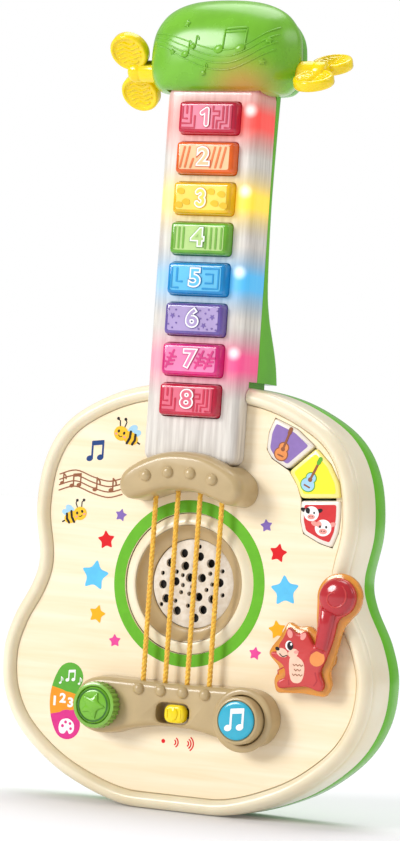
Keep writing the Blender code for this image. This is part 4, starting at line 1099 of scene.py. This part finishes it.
def make_tone_keys():
    # The second key's print and border carry its painted glow.
    for k, (outline, tint, border) in enumerate(zip(TONE_KEYS, (m_tone_purple, m_tone_yellow_painted_glow, m_tone_red),
                                                    (m_milk, m_milk_painted_glow, m_milk))):
        name = f"tone_key_{k + 1}"
        key = Shape().slab(rounded(outline, 2.2), [(6.6, 0.35), (0.2, 0.35), (-0.5, 0.5), (-0.95, 0.95), (-1.1, 1.5)],
                           border)
        key.stand_for(name, "neck_white", name)
        sheet = Printing(-1.1).add(0, tint, rounded(inset([Vector(p) for p in outline], 2.6), 1.4))
        if k == 0:
            guitar_sign(sheet, (49.4, 195.6), (55.2, 211.6), m_brown, m_acorn)
        elif k == 1:
            guitar_sign(sheet, (66.0, 180.0), (73.6, 196.4), m_label_green, m_wing)
        else:
            animal_face(sheet, 70.6, 167.4, 1.0, m_black)
            animal_face(sheet, 78.0, 160.2, 1.12, m_blush)
        sheet.finish(f"{name}_print", name)


def make_mode_knob():
    knob = Shape().turned([(0, 5.6, 1), (10.3, 5.6, 1), (10.35, 7.3, 1), (10.6, 7.6, 1), (11.4, 7.6, 1),
                           (12.3, 7.3, 1), (12.75, 6.4), (12.9, 1.0), (12.75, 0), (3.1, 0, 1), (3.1, -18, 1),
                           (0, -18, 1)], (KNOB[0], BRIDGE_FRONT - 0.4, KNOB[1]), m_knob, steps=224, ridges=28,
                          ridge=0.95)
    knob.stand_for("mode_knob", "head_green", "mode_knob", smooth=45)
    cap = Shape().turned([(0, 2.4), (7.4, 2.35), (9.0, 2.0), (9.8, 1.3), (10, 0.6), (10, 0), (0, 0)],
                         (KNOB[0], BRIDGE_FRONT - 6.3, KNOB[1]), m_leaf, steps=64)
    front = BRIDGE_FRONT - 8.7
    cap.stack([(front + 0.3, 8.3), (front - 0.6, 8.0), (front - 0.95, 7.1)],
              lambda reach: star(*KNOB, reach, -22, 0.46), m_leaf)
    cap.turned([(8.8, 0.35), (9.2, 0.1), (8.8, -0.3), (8.3, 0.1)], (KNOB[0], front + 0.1, KNOB[1]), m_dark, steps=64)
    cap.stand_for("mode_knob_cap", "head_green", "mode_knob", smooth=45)


def make_melody_button():
    button = Shape().turned([(0, 15.4), (10.8, 15.4), (10.85, 16.1), (11.2, 16.45), (11.8, 16.4), (12.5, 16.0),
                             (12.9, 15.2), (12.9, 0), (4, 0), (4, -9), (0, -9)], (MELODY[0], -3, MELODY[1]), m_tan,
                            steps=72)
    button.stand_for("melody_button", "tan_plastic", "melody_button", smooth=45)
    face = Shape().turned([(0, 1.6), (8.6, 1.55), (9.8, 1.4), (10.35, 1.05), (10.5, 0.5), (10.5, 0), (0, 0)],
                          (MELODY[0], -18.7, MELODY[1]), m_melody, steps=72)
    face.stand_for("melody_disc", "melody_blue", "melody_button", smooth=45)
    sheet = Printing(-20.3, 0.12).add(0, m_white, *note_pair(MELODY[0] + 0.8, MELODY[1] - 4.2, 1.12))
    sheet.finish("melody_sign", "melody_button", "melody_blue")


def make_slider():
    x, z = 3.2, SLOT_CENTRE[1]
    slider = Shape().slab(rectangle(x, z, 6.2, 5.0, 4.4, 8), [(-9.6, 0), (-12.4, 0), (-13.4, 0.35), (-14.0, 1.0),
                                                              (-14.2, 1.8)], m_yellow)
    slider.slab(ellipse(x, z, 2.5, 3.6), [(-14.0, 0), (-14.75, 0.25), (-15.0, 0.9)], m_yellow)
    for side in (-1, 1):
        slider.slab(stroke([(x + side * 3.9, z - 2.1), (x + side * 4.1, z), (x + side * 3.9, z + 2.1)], 0.7),
                    [(-14.0, 0), (-14.55, 0.1)], m_yellow)
    slider.slab(rectangle(x, z, 1.8, 1.8), [(5.6, 0), (-10.2, 0)], m_yellow)
    slider.stand_for("volume_slider", "peg_yellow", "volume_slider")


# ---------------------------------------------------------------- squirrel lever
TAIL_DISC, TAIL_RADIUS = (94.0, 124.0), 10.5
SQUIRREL = [(83, 97), (80.5, 100.5), (77.5, 105.5), (74, 103), (70.5, 104), (67, 107), (65, 101),
            (61.5, 95.5), (64.5, 92), (58.5, 93), (57.5, 90.5), (66, 85.5), (67.5, 79.5), (62, 77),
            (63.5, 73), (72, 74.5), (80, 75.5), (88, 73), (90, 77), (86.5, 83.5), (90, 92),
            (93, 101.5), (94.8, 112)]
LEVER_PLATE = [(82.8, 104), (78.5, 108), (72, 106.5), (65.5, 109.5), (61.5, 101), (57, 95.5), (54.8, 91),
               (62.5, 84), (59, 77.5), (61, 70.5), (75, 71.5), (90, 70.5), (93, 77), (91, 84),
               (94, 94), (97, 108)]


def make_lever():
    figure = [Vector(p) for p in SQUIRREL + arc(*TAIL_DISC, TAIL_RADIUS, -55, 195, 30) + [(84.0, 112)]]
    plate = [Vector(p) for p in LEVER_PLATE + arc(*TAIL_DISC, TAIL_RADIUS + 2.4, -50, 190, 30) + [(81.6, 112)]]
    backing = Shape().stack([(-6.4, 0.6), (-7.0, 0.1), (-7.6, 0), (-9.6, 0), (-10.2, 0.2), (-10.5, 0.7)],
                            lambda amount: rounded(inset(plate, amount), 2.6), m_amber)
    backing.stand_for("lever_plate", "lever_amber", "whammy_lever")
    body = Shape().stack([(-10.8, 0), (-12.8, 0), (-13.5, 0.2), (-13.9, 0.6), (-14.0, 1.0)],
                         lambda amount: rounded(inset(figure, amount), 2.4), m_red)
    body.stand_for("squirrel", "squirrel_red", "whammy_lever")
    make_squirrel_tail()
    print_squirrel()
    pin = Shape().turned([(0, 6.1), (6, 6.1), (6, 0.6), (3.3, 0.6), (3.3, -6.2), (5.4, -6.2), (5.4, -7.6),
                          (3.3, -7.6), (3.3, -9), (0, -9)], (LEVER_PIVOT[0], 0, LEVER_PIVOT[1]), m_amber, steps=40)
    pin.stand_for("lever_pin", "lever_amber", "whammy_lever")


def make_squirrel_tail():
    """A domed stalk and disc with a raised spiral, whose lighter red is a painted highlight along it."""
    front = -14.0
    stalk = [Vector(p) for p in [(83.8, 96), (90.4, 94.5), (92.6, 106), (94.6, 116), (85.6, 119), (85, 108)]]
    tail = Shape().stack([(-13.8, 0), (-15.4, 0.3), (-16.5, 1.0), (-17.0, 1.8)],
                         lambda amount: rounded(inset(stalk, amount), 1.5), m_deep_red)
    tail.turned([(0, 3.6), (3, 3.5), (6, 3.0), (8.4, 2.1), (9.6, 1.0), (9.9, 0), (9.9, -0.4), (0, -0.4)],
                (TAIL_DISC[0], front, TAIL_DISC[1]), m_deep_red, steps=56)
    # The spiral is raised and takes the body's lighter red as a painted highlight.
    path = []
    for k in range(41):
        p = arc(*TAIL_DISC, 7.4 - 5.2 * k / 40, 60 - 8.6 * k, 61 - 8.6 * k, 1)[0]
        reach = (p - Vector(TAIL_DISC)).length
        path.append(at(p.x, front - 3.55 + 1.3 * (reach / 8) ** 2, p.y))
    tail.tube(path, [0.25 + 0.35 * min(1, k / 6, (40 - k) / 6) for k in range(41)], m_red, 8)
    tail.finish("squirrel_tail", "whammy_lever", "squirrel_red", smooth=60)


def print_squirrel():
    """The figure's belly, cheeks, ears, hand, fur marks and face."""
    sheet = Printing(-14.0)
    belly = closed_line([(69.5, 90.2), (72.5, 91.5), (77.4, 88.2), (78.2, 82), (76.2, 77.4), (71.6, 77.6),
                         (69.6, 83)], 5)
    sheet.add(0, m_belly, belly, ellipse(64.8, 92.4, 3.4, 2.3, -18), ellipse(71.2, 92.6, 3.0, 2.3, 20))
    sheet.add(0, m_blush, ellipse(68.6, 102.8, 1.5, 2.3, 20), ellipse(76.4, 102.0, 1.4, 2.2, -30))
    sheet.add(0, m_acorn, ellipse(*LEVER_PIVOT, 4.4, 4.0, 30))
    sheet.add(1, m_deep_red, stroke(open_line([(81.6, 93.6), (84.6, 95.4), (88.2, 94.2)], 5), 1.3))
    for k in range(3):
        z = 86.8 - 2.6 * k
        for n in range(3 - k % 2):
            x = 71.6 + 2.0 * n + k % 2
            sheet.add(1, m_brown, stroke([(x, z), (x + 0.8, z - 0.8), (x + 1.6, z)], 0.5))
    sheet.add(0, m_deep_red, stroke([(66, 84.6), (63, 82.8), (63.4, 80.8)], 0.7),
              stroke([(84.6, 83.2), (86, 79), (84.4, 76.4)], 0.7), stroke([(70, 75.6), (69.6, 78)], 0.6))
    sheet.add(0, m_white, ellipse(68.6, 96.5, 2.2, 2.6, 8))
    sheet.add(1, m_black, ellipse(69.2, 96.4, 1.75, 2.3, 8), ellipse(61.9, 94.3, 1.3, 1.0, -20))
    sheet.add(2, m_white, ellipse(69.8, 97.3, 0.6, 0.7))
    sheet.add(1, m_black, stroke(open_line([(63.4, 91.8), (65.2, 90.4), (67.6, 91.2)], 5), 0.5))
    sheet.add(1, m_blush, ellipse(73.0, 93.4, 1.4, 0.9, 10))
    sheet.finish("squirrel_print", "whammy_lever", "squirrel_red")


# ---------------------------------------------------------------- CAD nodes that stay
def dress_inner_nodes():
    """Hidden pieces keep their CAD shape and get their own materials."""
    finishes = {m_board: ["main_board", "neck_board", "tone_board"], m_rubber: ["key_membrane"],
                m_coal: ["speaker", "mode_switch", "volume_switch", "melody_switch"],
                m_steel: ["battery_contact_left", "battery_contact_right"], m_lime: ["battery_tray"],
                m_wrap: ["battery_1", "battery_2", "battery_3"], m_lens: [f"led_{k}" for k in range(1, 5)]}
    for material, names in finishes.items():
        for name in names:
            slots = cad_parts[name].data.materials
            slots.clear()
            slots.append(material)


dress_inner_nodes()
make_casing()
make_sound_hole()
make_fretboard()
for index in range(8):
    make_key(index)
make_neck_shell()
make_head()
make_nut_and_bridge()
make_cords()
make_prints()
make_tone_keys()
make_mode_knob()
make_melody_button()
make_slider()
make_lever()


# ---------------------------------------------------------------- stage, lights and camera
def stage():
    """A pale floor that runs to the horizon, a white surround and soft lights above and beside."""
    mesh = bpy.data.meshes.new("floor")
    size = 40.0
    mesh.from_pydata([(-size, -size, 0), (size, -size, 0), (size, size, 0), (-size, size, 0)], [], [(0, 1, 2, 3)])
    floor = bpy.data.objects.new("floor", mesh)
    mesh.materials.append(surface("studio_floor", (0.79, 0.785, 0.81, 1), (0.78, 0.775, 0.8, 1), 0.9, 2, bump=0.0,
                                  Emission_Color=(1, 1, 1, 1), Emission_Strength=0.05))
    scene.collection.objects.link(floor)

    world = bpy.data.worlds.new("studio")
    world.use_nodes = True
    tree = world.node_tree
    seen, lit = tree.nodes["Background"], node(tree, "Background")
    for background, strength in ((seen, 1.0), (lit, 0.44)):
        plug(background.inputs["Color"], PURE_WHITE)
        plug(background.inputs["Strength"], strength)
    blend = node(tree, "MixShader", node(tree, "LightPath").outputs["Is Camera Ray"], lit.outputs["Background"],
                 seen.outputs["Background"])
    plug(tree.nodes["World Output"].inputs["Surface"], blend.outputs["Shader"])
    scene.world = world
    for name, place, power, spread in (("key_light", (-1.0, -1.5, 0.7), 1.85, 22),
                                       ("top_light", (-0.1, 0.25, 1.0), 2.0, 50),
                                       ("rim_light", (1.4, 0.5, 0.9), 0.35, 25)):
        light = bpy.data.lights.new(name, 'SUN')
        light.energy, light.angle = power, math.radians(spread)
        lamp = bpy.data.objects.new(name, light)
        lamp.rotation_euler = Vector(place).to_track_quat('Z', 'Y').to_euler()
        scene.collection.objects.link(lamp)
    scene.view_settings.view_transform = 'Standard'


def camera():
    """The camera stands to the right, a little low, and leans by four degrees."""
    azimuth, elevation, roll = math.radians(25.645), math.radians(-1.36), math.radians(3.989)
    target, distance = Vector((0, -0.0107, 0.2139)), 1.797
    back = Vector((math.sin(azimuth) * math.cos(elevation), -math.cos(azimuth) * math.cos(elevation),
                   math.sin(elevation)))
    right = Vector((0, 0, 1)).cross(back).normalized()
    up = back.cross(right)
    leaning_right = math.cos(roll) * right + math.sin(roll) * up
    leaning_up = math.cos(roll) * up - math.sin(roll) * right
    data = bpy.data.cameras.new("camera")
    data.sensor_fit, data.sensor_height, data.lens = 'VERTICAL', 36.0, 140.7
    made = bpy.data.objects.new("camera", data)
    made.matrix_world = Matrix.Translation(target + back * distance) @ Matrix(
        (leaning_right, leaning_up, back)).transposed().to_4x4()
    scene.collection.objects.link(made)
    scene.camera = made


stage()
camera()
